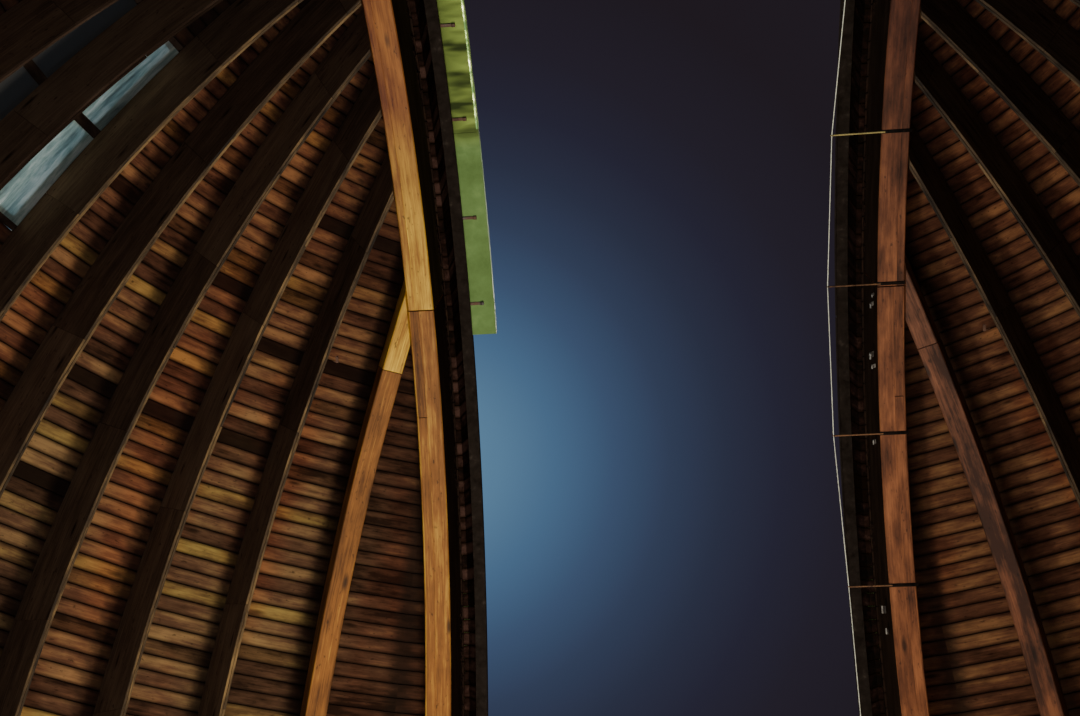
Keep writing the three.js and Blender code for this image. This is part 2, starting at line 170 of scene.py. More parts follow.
# the plain sky: its colour falls with the height, and overhead it also darkens towards the right
height = node(sky, "ShaderNodeSeparateXYZ", {0: place.outputs["Generated"]})
high = node(sky, "ShaderNodeMapRange", {0: height.outputs["Z"], 1: 0.05, 2: 0.30, 3: 0.0, 4: 1.1})
across = node(sky, "ShaderNodeClamp", {0: height.outputs["X"], 1: -0.3, 2: 0.25})
darker = node(sky, "ShaderNodeMath", {0: across.outputs[0], 1: high.outputs[0], 2: height.outputs["Z"]},
              operation="MULTIPLY_ADD")
band = node(sky, "ShaderNodeValToRGB", {"Fac": darker.outputs[0]})
set_stops(band, [(0.0, "#b4b5b3"), (0.12, "#9aa7ae"), (0.28, "#7097b0"), (0.37, "#6590ae"), (0.45, "#4c6e8e"), (0.52, "#3a506c"),
                 (0.60, "#2d384d"), (0.68, "#252838"), (0.8, "#20202b")])
# the glow in the slit: its colour falls with the angle from a point 30 degrees up, low in the slit's left
glow_way = node(sky, "ShaderNodeVectorMath", {0: place.outputs["Generated"], 1: (-0.1766, 0.8478, 0.5000)},
                operation="DOT_PRODUCT")
glow_angle = node(sky, "ShaderNodeMath", {0: glow_way.outputs["Value"]}, operation="ARCCOSINE", use_clamp=False)
glow = node(sky, "ShaderNodeValToRGB", {"Fac": glow_angle.outputs[0]})
set_stops(glow, [(0.0, "#628aa8"), (0.063, "#577b9a"), (0.107, "#4a6888"), (0.151, "#3f526f"), (0.195, "#364058"),
                 (0.239, "#2f3346"), (0.282, "#2a2939"), (0.326, "#28242f"), (0.40, "#251f26")])
share = None
for axis, start, full in (("X", -0.35, -0.22), ("Y", 0.2, 0.4), ("Z", 0.04, 0.24)):
    part = node(sky, "ShaderNodeMapRange", {0: height.outputs[axis], 1: start, 2: full, 3: 0.0, 4: 1.0})
    share = part if share is None else node(sky, "ShaderNodeMath", {0: share.outputs[0], 1: part.outputs[0]},
                                            operation="MULTIPLY")
whole_sky = node(sky, "ShaderNodeMix", {0: share.outputs[0], 6: band.outputs[0], 7: glow.outputs[0]}, data_type="RGBA")
sky.node_tree.links.new(whole_sky.outputs[2], background.inputs["Color"])
background.inputs["Strength"].default_value = 1.0


# %% Lamps
def soft_lamp(name, place, target, size, power, colour):
    light = bpy.data.lights.new(name, "AREA")
    light.shape = "DISK"
    light.size = size
    light.energy = power
    light.color = linear(colour)[:3]
    lamp = bpy.data.objects.new(name, light)
    bpy.context.collection.objects.link(lamp)
    lamp.location = place
    lamp.rotation_euler = (Vector(target) - Vector(place)).to_track_quat("-Z", "Y").to_euler()
    lamp.visible_camera = False
    return lamp


soft_lamp("lamp_inside", (-0.60, 1.45, 1.3), (-2.45, 1.8, 5.7), 0.6, 170, "#fff3dc")
soft_lamp("lamp_inside_fill", (1.0, 1.2, 0.9), (2.6, 2.8, 3.4), 2.0, 27, "#ffdcc2")
soft_lamp("lamp_inside_haze", (-0.6, -1.2, 0.6), (-1.2, 1.5, 6.0), 3.0, 190, "#dcdcdf")


def soft_sun(name, place, strength, colour):
    """A distant lamp with a soft edge, shining from a place towards the dome."""
    light = bpy.data.lights.new(name, "SUN")
    light.energy = strength
    light.angle = math.radians(22)
    light.color = linear(colour)[:3]
    lamp = bpy.data.objects.new(name, light)
    bpy.context.collection.objects.link(lamp)
    lamp.rotation_euler = Vector(place).to_track_quat("Z", "Y").to_euler()
    return lamp


outside_lamps = [
    soft_sun("sun_key", (-12, -9, 11), 2.0, "#fff3e2"),
    soft_sun("sun_side", (14, -7, 8), 0.95, "#eaf2ff"),
    soft_sun("sun_front", (6, 15, 9), 1.4, "#fff8ee"),
]

# %% [markdown]
# ## Swept timbers
# Almost every piece of this dome is a bar bent to an arc: ribs, beams and leaves bend round the level axis across
# the dome, boards and rings round its upright axis. Each starts as a circle with as many corners as the bar's
# section, the corners go to their places, and Spin turns the filled section round the dome's centre. Spin leaves
# a face at both ends, so a bar is closed and can be cut and capped anywhere.

# %% Sweep helpers
def outline(name, corners):
    """A filled outline; its corners are measured from the dome's centre."""
    clear_selection()
    bpy.ops.mesh.primitive_circle_add(vertices=len(corners), radius=1, fill_type="NGON")
    piece = bpy.context.object
    piece.name = name
    for vertex, corner in zip(piece.data.vertices, corners):
        vertex.co = CENTRE + Vector(corner)
    piece.location = (0, 0, 0)
    return piece


def edit(piece):
    clear_selection()
    piece.select_set(True)
    bpy.context.view_layer.objects.active = piece
    bpy.ops.object.mode_set(mode="EDIT")
    bpy.ops.mesh.select_all(action="SELECT")


def swing(piece, axis, angle, steps):
    """Spins a section into a closed bar. Spin turns clockwise, so the angle's sign is changed."""
    edit(piece)
    bpy.ops.mesh.spin(steps=steps, angle=-math.radians(angle), center=CENTRE, axis=axis)
    bpy.ops.mesh.select_all(action="SELECT")
    bpy.ops.mesh.normals_make_consistent(inside=False)
    bpy.ops.object.mode_set(mode="OBJECT")
    return piece


def on_arc(radius, angle, x=0.0):
    """A point at an angle along the slit, from the front springing up."""
    return (x, radius * math.cos(math.radians(angle)), radius * math.sin(math.radians(angle)))


def arc_bar(name, section, start, end, step=2.5):
    """A bar that runs along the slit; its section's corners are (x, radius)."""
    piece = outline(name, [on_arc(radius, start, x) for x, radius in section])
    return swing(piece, (1, 0, 0), end - start, max(1, round((end - start) / step)))


def ring_bar(name, section, start, end, step=7.5):
    """A bar that runs round the dome; its section's corners are (radius, height)."""
    a = math.radians(start)
    piece = outline(name, [(-radius * math.sin(a), radius * math.cos(a), z) for radius, z in section])
    return swing(piece, (0, 0, 1), end - start, max(1, round((end - start) / step)))


def bar(x0, x1, r0, r1, chamfer=0.0):
    """A rectangular section with its two inner corners taken off."""
    if not chamfer:
        return [(x0, r0), (x1, r0), (x1, r1), (x0, r1)]
    c = chamfer
    return [(x0 + c, r0), (x1 - c, r0), (x1, r0 + c), (x1, r1), (x0, r1), (x0, r0 + c)]


# %% Helpers that copy, join, cut and mirror
def join(name, pieces):
    clear_selection()
    for piece in pieces:
        piece.select_set(True)
    bpy.context.view_layer.objects.active = pieces[0]
    if len(pieces) > 1:
        bpy.ops.object.join()
    pieces[0].name = name
    pieces[0].data.name = name
    return pieces[0]


def copy_of(piece, name, bearing=0.0, mirror=False):
    """A copy with its own mesh, turned round the upright axis or mirrored across the slit."""
    twin = piece.copy()
    twin.data = piece.data.copy()
    twin.name = name
    bpy.context.collection.objects.link(twin)
    clear_selection()
    twin.select_set(True)
    bpy.context.view_layer.objects.active = twin
    twin.rotation_euler.z = math.radians(bearing)
    twin.scale.x = -1 if mirror else 1
    bpy.ops.object.transform_apply()
    if mirror:
        edit(twin)
        bpy.ops.mesh.normals_make_consistent(inside=False)
        bpy.ops.object.mode_set(mode="OBJECT")
    return twin


def cut(piece, point, normal):
    """Cuts a piece by a plane, takes away what lies on the normal's side, and caps the cut."""
    edit(piece)
    bpy.ops.mesh.bisect(plane_co=CENTRE + Vector(point), plane_no=normal, use_fill=True, clear_outer=True)
    bpy.ops.object.mode_set(mode="OBJECT")
    return piece


def station(angle):
    """The direction in which the angle along the slit grows."""
    return Vector((0, -math.sin(math.radians(angle)), math.cos(math.radians(angle))))


# %% [markdown]
# ## Grain that follows each timber
# A bent rib or a curved board has its grain along the curve. Every finished timber piece gets two attributes
# for that. `wood` is each point's place in the straightened timber: metres along, across and in depth. `plank`
# gives every single plank two chance numbers, so that neighbours differ in tone, and half its width, so that
# the material can find its edges.

# %% Grain attributes
def measure(piece):
    count = len(piece.data.vertices)
    flat = np.empty(count * 3)
    piece.data.vertices.foreach_get("co", flat)
    return flat.reshape(count, 3) - np.array(CENTRE)


def store(piece, name, domain, values):
    attribute = piece.data.attributes.get(name) or piece.data.attributes.new(name, "FLOAT_VECTOR", domain)
    attribute.data.foreach_set("vector", np.asarray(values, dtype=np.float32).ravel())


def grain_along_slit(piece, middle):
    """Grain for a bar along the slit, whose middle is at (x, radius)."""
    x, y, z = measure(piece).T
    radius = np.hypot(y, z)
    store(piece, "wood", "POINT", np.stack([np.arctan2(z, y) * middle[1], x - middle[0], radius - middle[1]], axis=1))


def grain_round_dome(piece, middle):
    """Grain for a ring, whose middle is at (radius, height)."""
    x, y, z = measure(piece).T
    radius = np.hypot(x, y)
    store(piece, "wood", "POINT", np.stack([np.arctan2(-x, y) * middle[0], z - middle[1], radius - middle[0]], axis=1))


def grain_straight(piece, along):
    """Grain for a straight bar; along is the axis number that its grain follows."""
    place = measure(piece)
    place = place - place.mean(axis=0)
    order = [along, *[i for i in (0, 1, 2) if i != along]]
    store(piece, "wood", "POINT", place[:, order])


def islands(piece):
    """The number of the loose part that each face belongs to."""
    parent = list(range(len(piece.data.vertices)))

    def root(i):
        while parent[i] != i:
            parent[i] = parent[parent[i]]
            i = parent[i]
        return i

    for edge in piece.data.edges:
        a, b = root(edge.vertices[0]), root(edge.vertices[1])
        if a != b:
            parent[a] = b
    numbers = {}
    return np.array([numbers.setdefault(root(p.vertices[0]), len(numbers)) for p in piece.data.polygons])


def number_planks(piece, half_width, seed, given=None, tones=(0, 1), hues=(0, 1)):
    """Gives every loose part of a piece its own two chance numbers, or the given ones in order."""
    part = islands(piece)
    chance = np.random.default_rng(seed).random((part.max() + 1, 2)) if given is None else np.array(given)
    if given is None:
        chance = np.column_stack([np.interp(chance[:, 0], (0, 1), tones), np.interp(chance[:, 1], (0, 1), hues)])
    store(piece, "plank", "FACE", np.column_stack([chance[part], np.full(len(part), half_width)]))
    return piece


# %% [markdown]
# ## Timber
# All the timber is softwood that has darkened under old stain and lamp soot, sawn or planed. One function makes
# every kind of it, because only tones and roughness differ: long streaks of grain, a fine grain across them,
# knots, blotches where the stain took unevenly, dirt along the edges of each plank, and a low bump of the grain.

# %% Timber materials
def timber(name, dark, middle, light, rough=0.62, spread=1.0, blotch=0.5, streak=0.6, edge_dirt=0.55, bump=0.35):
    """Softwood whose grain follows the wood attribute and whose tone and hue change from plank to plank."""
    made, shader = new_material(name)
    wood = node(made, "ShaderNodeAttribute", attribute_name="wood")
    plank = node(made, "ShaderNodeAttribute", attribute_name="plank")
    chance = node(made, "ShaderNodeSeparateXYZ", {0: plank.outputs["Vector"]})
    apart = node(made, "ShaderNodeVectorMath", {0: plank.outputs["Vector"], 1: (37.0, 11.0, 0.0)}, operation="MULTIPLY")
    place = node(made, "ShaderNodeVectorMath", {0: wood.outputs["Vector"], 1: apart.outputs[0]}, operation="ADD")
    # streaks about 300 mm long and 12 mm wide, then fine grain of about 3 mm
    long_grain = node(made, "ShaderNodeMapping", {"Vector": place.outputs[0], "Scale": (3.4, 85.0, 85.0)})
    streaks = node(made, "ShaderNodeTexNoise", {"Vector": long_grain.outputs[0], "Scale": 1.0, "Detail": 5.0,
                                                "Roughness": 0.62, "Distortion": 0.35})
    fine_grain = node(made, "ShaderNodeMapping", {"Vector": place.outputs[0], "Scale": (9.0, 330.0, 330.0)})
    fibres = node(made, "ShaderNodeTexNoise", {"Vector": fine_grain.outputs[0], "Scale": 1.0, "Detail": 3.0})
    # patches of stain, 100 to 400 mm across
    patch_place = node(made, "ShaderNodeMapping", {"Vector": place.outputs[0], "Scale": (3.5, 12.0, 12.0)})
    patches = node(made, "ShaderNodeTexNoise", {"Vector": patch_place.outputs[0], "Scale": 1.0, "Detail": 4.0,
                                                "Roughness": 0.6})
    # knots, about 25 mm, one in every half metre or so
    knot_place = node(made, "ShaderNodeMapping", {"Vector": place.outputs[0], "Scale": (2.4, 8.0, 8.0)})
    knots = node(made, "ShaderNodeTexVoronoi", {"Vector": knot_place.outputs[0], "Scale": 1.0, "Randomness": 1.0})
    knot = node(made, "ShaderNodeMapRange", {0: knots.outputs["Distance"], 1: 0.05, 2: 0.15, 3: 0.8, 4: 0.0})
    # the tone: a chance number for the plank, then patches, streaks and fibres on top of it
    tone = node(made, "ShaderNodeMapRange", {0: chance.outputs[0], 1: 0.0, 2: 1.0,
                                             3: 0.5 - 0.24 * spread, 4: 0.5 + 0.24 * spread})
    for layer, weight in ((patches, blotch), (streaks, streak), (fibres, 0.2)):
        centred = node(made, "ShaderNodeMath", {0: layer.outputs["Fac"], 1: 0.5}, operation="SUBTRACT")
        tone = node(made, "ShaderNodeMath", {0: centred.outputs[0], 1: weight, 2: tone.outputs[0]},
                    operation="MULTIPLY_ADD")
    shades = node(made, "ShaderNodeValToRGB", {"Fac": tone.outputs[0]})
    set_stops(shades, [(0.2, dark), (0.5, middle), (0.82, light)])
    # one plank in five leans to ochre, where the stain has worn thin
    thin = node(made, "ShaderNodeMapRange", {0: chance.outputs[1], 1: 0.72, 2: 0.97, 3: 0.0, 4: 0.9})
    hue = node(made, "ShaderNodeMix", {0: thin.outputs[0], 6: shades.outputs[0], 7: (1.25, 1.45, 0.95, 1.0)},
               data_type="RGBA", blend_type="MULTIPLY")
    # dirt gathers in the last few millimetres beside a plank's edges, and a few planks are nearly black
    spot = node(made, "ShaderNodeSeparateXYZ", {0: wood.outputs["Vector"]})
    off = node(made, "ShaderNodeMath", {0: spot.outputs[1]}, operation="ABSOLUTE")
    inset = node(made, "ShaderNodeMath", {0: chance.outputs[2], 1: off.outputs[0]}, operation="SUBTRACT")
    ragged = node(made, "ShaderNodeMath", {0: streaks.outputs["Fac"], 1: -0.012, 2: inset.outputs[0]},
                  operation="MULTIPLY_ADD")
    dirt = node(made, "ShaderNodeMapRange", {0: ragged.outputs[0], 1: -0.006, 2: 0.010, 3: edge_dirt, 4: 0.0})
    worn = node(made, "ShaderNodeMath", {0: dirt.outputs[0], 1: knot.outputs[0]}, operation="MAXIMUM")
    tarred = node(made, "ShaderNodeMapRange", {0: chance.outputs[0], 1: 0.012, 2: 0.02, 3: 0.9, 4: 0.0})
    worn = node(made, "ShaderNodeMath", {0: worn.outputs[0], 1: tarred.outputs[0]}, operation="MAXIMUM")
    # specks of tar and old nail holes, 5 to 15 mm
    speck_place = node(made, "ShaderNodeMapping", {"Vector": place.outputs[0], "Scale": (28.0, 60.0, 60.0)})
    speck = node(made, "ShaderNodeTexNoise", {"Vector": speck_place.outputs[0], "Scale": 1.0, "Detail": 4.0})
    specks = node(made, "ShaderNodeMapRange", {0: speck.outputs["Fac"], 1: 0.63, 2: 0.72, 3: 0.0, 4: 0.6})
    worn = node(made, "ShaderNodeMath", {0: worn.outputs[0], 1: specks.outputs[0]}, operation="MAXIMUM")
    stained = node(made, "ShaderNodeMix", {0: worn.outputs[0], 6: hue.outputs[2], 7: linear("#150d07")},
                   data_type="RGBA", blend_type="MIX")
    made.node_tree.links.new(stained.outputs[2], shader.inputs["Base Color"])
    gloss = node(made, "ShaderNodeMapRange", {0: tone.outputs[0], 1: 0.2, 2: 0.8, 3: rough + 0.12, 4: rough - 0.08})
    made.node_tree.links.new(gloss.outputs[0], shader.inputs["Roughness"])
    relief = node(made, "ShaderNodeMath", {0: fibres.outputs["Fac"], 1: 0.5, 2: streaks.outputs["Fac"]},
                  operation="MULTIPLY_ADD")
    grain = node(made, "ShaderNodeBump", {"Height": relief.outputs[0], "Strength": bump, "Distance": 0.0012})
    made.node_tree.links.new(grain.outputs[0], shader.inputs["Normal"])
    return made


sawn_boards = timber("sawn_softwood_boards_old_stain", "#21150e", "#513929", "#7d6240", rough=0.74, spread=0.90,
                     blotch=1.1, streak=0.45, edge_dirt=0.85)
rib_planks = timber("planed_softwood_ribs_old_stain", "#1a130c", "#40311f", "#745c3a", spread=0.7, blotch=1.7,
                    edge_dirt=0.2)
# painted fill light: the rib sides stand in shade, so they get a lighter colour than the planed edges
rib_sides = timber("sawn_softwood_rib_sides_sooty", "#33281f", "#5b493a", "#7b6753", rough=0.85, spread=0.7,
                   edge_dirt=0.2)
beam_wood = timber("planed_softwood_beam_varnished", "#452913", "#855524", "#c99a3e", rough=0.55, spread=0.75,
                   blotch=0.65, streak=0.7, edge_dirt=0.3, bump=0.3)
beam_wood_red = timber("planed_softwood_beam_red_stain", "#361f14", "#70432a", "#a06641", rough=0.55, spread=0.9,
                       blotch=1.3, streak=0.6, edge_dirt=0.3, bump=0.3)
dark_wood = timber("softwood_dark_preservative", "#15100c", "#281e18", "#3f3229", rough=0.85, spread=0.8, blotch=0.8)
curb_wood = timber("softwood_short_boards_sooty", "#110d0a", "#251814", "#43302a", rough=0.85, spread=1.2, blotch=1.4,
                   edge_dirt=0.95)
for dull, mirror_light in ((dark_wood, 0.0), (curb_wood, 0.0), (rib_sides, 0.0), (sawn_boards, 0.05), (rib_planks, 0.2),
                           (beam_wood, 0.22), (beam_wood_red, 0.22)):
    # soaked, sooty and sawn wood has no film that could mirror the sky, and the beams' varnish has gone dull
    dull.node_tree.nodes["Principled BSDF"].inputs["Specular IOR Level"].default_value = mirror_light
# the old stain is redder in fields half a metre to a metre wide
shader = sawn_boards.node_tree.nodes["Principled BSDF"]
wood = node(sawn_boards, "ShaderNodeAttribute", attribute_name="wood")
fields = node(sawn_boards, "ShaderNodeTexNoise", {"Vector": wood.outputs["Vector"], "Scale": 1.6, "Detail": 3.0})
redness = node(sawn_boards, "ShaderNodeMapRange", {0: fields.outputs["Fac"], 1: 0.42, 2: 0.62, 3: 0.0, 4: 1.0})
spot = node(sawn_boards, "ShaderNodeTexCoord")
sides = node(sawn_boards, "ShaderNodeSeparateXYZ", {0: spot.outputs["Object"]})
warm = node(sawn_boards, "ShaderNodeMapRange", {0: sides.outputs[2], 1: 4.9, 2: 6.2, 3: 0.0, 4: 0.85})
redness = node(sawn_boards, "ShaderNodeMath", {0: redness.outputs[0], 1: warm.outputs[0]}, operation="MAXIMUM")
# painted shade: the boards on the right side are made redder and darker, as in dim light
right_side = node(sawn_boards, "ShaderNodeMapRange", {0: sides.outputs[0], 1: 0.8, 2: 1.6, 3: 0.0, 4: 0.5})
redness = node(sawn_boards, "ShaderNodeMath", {0: redness.outputs[0], 1: right_side.outputs[0]}, operation="MAXIMUM")
reddened = node(sawn_boards, "ShaderNodeMix", {0: redness.outputs[0], 6: shader.inputs["Base Color"].links[0].from_socket,
                                               7: (1.14, 0.76, 0.72, 1.0)}, data_type="RGBA", blend_type="MULTIPLY")
sawn_boards.node_tree.links.new(reddened.outputs[2], shader.inputs["Base Color"])
# painted shade: the boards are darkened towards each rib, in the corner where shade falls, so every board is lightest
# in the middle of its bay
BAY_LONG = 4.18 * math.radians(7.5)
along = node(sawn_boards, "ShaderNodeSeparateXYZ", {0: wood.outputs["Vector"]})
bays = node(sawn_boards, "ShaderNodeMath", {0: along.outputs[0], 1: 1 / BAY_LONG}, operation="MULTIPLY")
in_bay = node(sawn_boards, "ShaderNodeMath", {0: bays.outputs[0], 1: 1.0}, operation="FLOORED_MODULO")
from_middle = node(sawn_boards, "ShaderNodeMath", {0: in_bay.outputs[0], 1: 0.5}, operation="SUBTRACT")
off_middle = node(sawn_boards, "ShaderNodeMath", {0: from_middle.outputs[0]}, operation="ABSOLUTE")
soft_place = node(sawn_boards, "ShaderNodeMapping", {"Vector": wood.outputs["Vector"], "Scale": (9.0, 14.0, 1.0)})
uneven = node(sawn_boards, "ShaderNodeTexNoise", {"Vector": soft_place.outputs[0], "Scale": 1.0, "Detail": 4.0})
reach = node(sawn_boards, "ShaderNodeMath", {0: uneven.outputs["Fac"], 1: 0.55, 2: off_middle.outputs[0]},
             operation="MULTIPLY_ADD")
rib_shade = node(sawn_boards, "ShaderNodeMapRange", {0: reach.outputs[0], 1: 0.42, 2: 0.80, 3: 0.0, 4: 0.8},
            interpolation_type="SMOOTHSTEP")
rib_shaded = node(sawn_boards, "ShaderNodeMix", {0: rib_shade.outputs[0], 6: shader.inputs["Base Color"].links[0].from_socket,
                                             7: linear("#1a120d")}, data_type="RGBA", blend_type="MIX")
# the strip of board that sticks out past the beams is soaked with preservative
from_slit = node(sawn_boards, "ShaderNodeMath", {0: sides.outputs[0]}, operation="ABSOLUTE")
preservative_and_shade = node(sawn_boards, "ShaderNodeMapRange", {0: from_slit.outputs[0], 1: 1.186, 2: 1.190, 3: 0.92, 4: 0.0})
# painted shadow of the beam: above 5 m half a metre of board next to the slit is darkened
beside_slit = node(sawn_boards, "ShaderNodeMapRange", {0: from_slit.outputs[0], 1: 1.25, 2: 1.80, 3: 0.65, 4: 0.0})
aloft = node(sawn_boards, "ShaderNodeMapRange", {0: sides.outputs[2], 1: 4.9, 2: 5.6, 3: 0.0, 4: 1.0})
painted_shade_zone = node(sawn_boards, "ShaderNodeMath", {0: beside_slit.outputs[0], 1: aloft.outputs[0]}, operation="MULTIPLY")
preservative_and_shade = node(sawn_boards, "ShaderNodeMath", {0: preservative_and_shade.outputs[0], 1: painted_shade_zone.outputs[0]}, operation="MAXIMUM")
# painted shade: the boards over the window, farther round than 67.5 degrees and higher than 6.3 m, are darkened too
round_back = node(sawn_boards, "ShaderNodeMath", {0: sides.outputs[1], 1: 2.414, 2: sides.outputs[0]},
                  operation="MULTIPLY_ADD")
far_round = node(sawn_boards, "ShaderNodeMapRange", {0: round_back.outputs[0], 1: -0.02, 2: 0.10, 3: 0.85, 4: 0.0})
crown = node(sawn_boards, "ShaderNodeMapRange", {0: sides.outputs[2], 1: 6.25, 2: 6.40, 3: 0.0, 4: 1.0})
painted_shade_zone = node(sawn_boards, "ShaderNodeMath", {0: far_round.outputs[0], 1: crown.outputs[0]}, operation="MULTIPLY")
preservative_and_shade = node(sawn_boards, "ShaderNodeMath", {0: preservative_and_shade.outputs[0], 1: painted_shade_zone.outputs[0]}, operation="MAXIMUM")
edged = node(sawn_boards, "ShaderNodeMix", {0: preservative_and_shade.outputs[0], 6: rib_shaded.outputs[2], 7: linear("#1a120d")},
             data_type="RGBA", blend_type="MIX")
sawn_boards.node_tree.links.new(edged.outputs[2], shader.inputs["Base Color"])
# the left beam's varnish is yellow above the splice, and turns red-brown between 3.6 and 4.5 m along the arc
shader = beam_wood.node_tree.nodes["Principled BSDF"]
wood = node(beam_wood, "ShaderNodeAttribute", attribute_name="wood")
along = node(beam_wood, "ShaderNodeSeparateXYZ", {0: wood.outputs["Vector"]})
redder = node(beam_wood, "ShaderNodeMapRange", {0: along.outputs[0], 1: 3.6, 2: 4.5, 3: 0.0, 4: 1.0})
aged = node(beam_wood, "ShaderNodeMix", {0: redder.outputs[0], 6: shader.inputs["Base Color"].links[0].from_socket,
                                         7: (0.42, 0.245, 0.42, 1.0)}, data_type="RGBA", blend_type="MULTIPLY")
beam_wood.node_tree.links.new(aged.outputs[2], shader.inputs["Base Color"])
# the right beam has darkened above its splice
shader = beam_wood_red.node_tree.nodes["Principled BSDF"]
wood = node(beam_wood_red, "ShaderNodeAttribute", attribute_name="wood")
along = node(beam_wood_red, "ShaderNodeSeparateXYZ", {0: wood.outputs["Vector"]})
darker = node(beam_wood_red, "ShaderNodeMapRange", {0: along.outputs[0], 1: 3.3, 2: 4.8, 3: 0.0, 4: 1.0})
aged = node(beam_wood_red, "ShaderNodeMix", {0: darker.outputs[0], 6: shader.inputs["Base Color"].links[0].from_socket,
                                             7: (0.36, 0.30, 0.36, 1.0)}, data_type="RGBA", blend_type="MULTIPLY")
beam_wood_red.node_tree.links.new(aged.outputs[2], shader.inputs["Base Color"])
print("timbers:", [m.name for m in bpy.data.materials if "softwood" in m.name])


def dress(piece, material, body="dome", smooth=30):
    """Gives a piece its material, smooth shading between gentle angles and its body."""
    piece.data.materials.clear()
    piece.data.materials.append(material)
    clear_selection()
    piece.select_set(True)
    bpy.context.view_layer.objects.active = piece
    if smooth:
        bpy.ops.object.shade_smooth_by_angle(angle=math.radians(smooth))
    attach(piece, body)
    return piece


# %% [markdown]
# ## Boarding
# The dome is closed by narrow boards, nailed level across the outside of the ribs. They run straight from rib to
# rib, so the whole shell has flats 7.5 degrees wide. Each board is a section of its own with an open joint to the
# next, set a hair in or out, and one Spin turns all the rows together through a quarter of the dome. The rows are
# spaced so that whole boards meet the window's head and sill.

# %% A quarter of the boarding
BOARD_IN, BOARD_THICK, SKIRT = 4.180, 0.020, 0.430
SLIT_HALF = 1.1753
row_edges = [38.2 - 1.0692 * k for k in range(35, 0, -1)]
row_edges += [38.2 + 1.0375 * k for k in range(17)]
row_edges += [54.8 + 1.0692 * k for k in range(1, 25)]
rng = np.random.default_rng(11)
gap = 0.0024  # half of the open joint between two boards
sections = []
skirt_top = BOARD_IN * math.sin(math.radians(row_edges[0]))
skirt_rows = [-SKIRT + (skirt_top + SKIRT) * k / 6 for k in range(7)]
for low, high in zip(skirt_rows, skirt_rows[1:]):
    proud = rng.uniform(0, 0.0015)
    sections.append(outline("board", [(0, BOARD_IN + proud, low + gap), (0, BOARD_IN + proud, high - gap),
                                      (0, BOARD_IN + BOARD_THICK, high - gap), (0, BOARD_IN + BOARD_THICK, low + gap)]))
for low, high in zip(row_edges, row_edges[1:]):
    trim = math.degrees(gap / BOARD_IN)
    foot, head = rng.uniform(0, 0.003, 2)
    a, b = low + trim, high - trim
    sections.append(outline("board", [on_arc(BOARD_IN + foot, a), on_arc(BOARD_IN + head, b),
                                      on_arc(BOARD_IN + BOARD_THICK, b), on_arc(BOARD_IN + BOARD_THICK, a)]))
quarter = swing(join("boarding", sections), (0, 0, 1), 90, 12)
x, y, z = measure(quarter).T
rise = np.degrees(np.arctan2(z, np.hypot(x, y)))
level_rows = np.array(row_edges)
row = np.clip(np.searchsorted(level_rows, rise) - 1, 0, len(level_rows) - 2)
across = np.radians(rise - (level_rows[row] + level_rows[row + 1]) / 2) * BOARD_IN
low_rows = np.array(skirt_rows)
low_row = np.clip(np.searchsorted(low_rows, z) - 1, 0, len(low_rows) - 2)
across = np.where(rise < row_edges[0], z - (low_rows[low_row] + low_rows[low_row + 1]) / 2, across)
store(quarter, "wood", "POINT", np.stack([np.arctan2(-x, y) * BOARD_IN, across, np.hypot(x, y)], axis=1))
print("boards in a quarter:", len(sections), "faces:", len(quarter.data.polygons))


# %% Four quarters with the slit and the window cut out
def number_boards(piece, seed, right_side):
    """Boards are 1 to 3 bays long and butt behind a rib, so the chance numbers change there."""
    chance = np.random.default_rng(seed)
    starts, lengths, values = chance.integers(0, 3, 140), chance.integers(1, 4, 140), chance.random((140, 52, 2))
    rows = []
    for polygon in piece.data.polygons:
        x, y, z = polygon.center - CENTRE
        rise = math.degrees(math.atan2(z, math.hypot(x, y)))
        row = int(np.searchsorted(row_edges, rise)) + 10 if rise > row_edges[0] else int(np.searchsorted(skirt_rows, z))
        bay = int(math.degrees(math.atan2(-x, y)) % 360 // 7.5)
        tone, hue = values[row, (bay + starts[row]) // lengths[row]]
        if 32.3 < rise < 33.2 and 5 <= bay <= 7:
            tone = 0.0  # the tarred board in the photograph, three bays long
        if bay < 4 and rise < 45:
            tone, hue = 0.03 + tone * 0.3, hue * 0.7  # painted shadow of the beam on the boards between the beam and the brace
        if right_side:
            tone, hue = 0.36 + tone * 0.40, hue * 0.70  # painted shade: on the right side the boards get flatter tones with less ochre, as in dim light
        rows.append((tone, hue, 0.037))
    store(piece, "plank", "FACE", rows)


def boarding_quarter(name, behind, mirror, window, seed):
    """One quarter: the part beside the slit, and the part that closes the dome below or behind the slit."""
    beside = copy_of(quarter, name, 90 if behind else 0)
    cut(beside, (-SLIT_HALF, 0, 0), (1, 0, 0))
    across_slit = copy_of(quarter, name, 90 if behind else 0)
    cut(across_slit, (-SLIT_HALF, 0, 0), (-1, 0, 0))
    if behind:
        cut(across_slit, station(100) * 0.0403, -station(100))
    else:
        cut(across_slit, station(6) * -0.0403, station(6))
    piece = join(name, [beside, across_slit])
    if window:
        doomed = []
        for polygon in piece.data.polygons:
            x, y, z = polygon.center - CENTRE
            side = math.degrees(math.atan2(-x, y))
            rise = math.degrees(math.atan2(z, math.hypot(x, y)))
            doomed.append(67.5 < side < 82.5 and 38.2 < rise < 54.8)
        edit(piece)
        bpy.ops.mesh.select_all(action="DESELECT")
        bpy.ops.object.mode_set(mode="OBJECT")
        piece.data.polygons.foreach_set("select", doomed)
        bpy.ops.object.mode_set(mode="EDIT")
        bpy.ops.mesh.select_mode(type="FACE")
        bpy.ops.mesh.delete(type="FACE")
        bpy.ops.mesh.select_all(action="SELECT")
        bpy.ops.mesh.fill_holes(sides=4)
        bpy.ops.mesh.select_mode(type="VERT")
        bpy.ops.object.mode_set(mode="OBJECT")
    if mirror:
        whole = copy_of(piece, name, mirror=True)
        bpy.data.objects.remove(piece)
        piece = whole
        piece.name = name
    number_boards(piece, seed, mirror)
    return piece


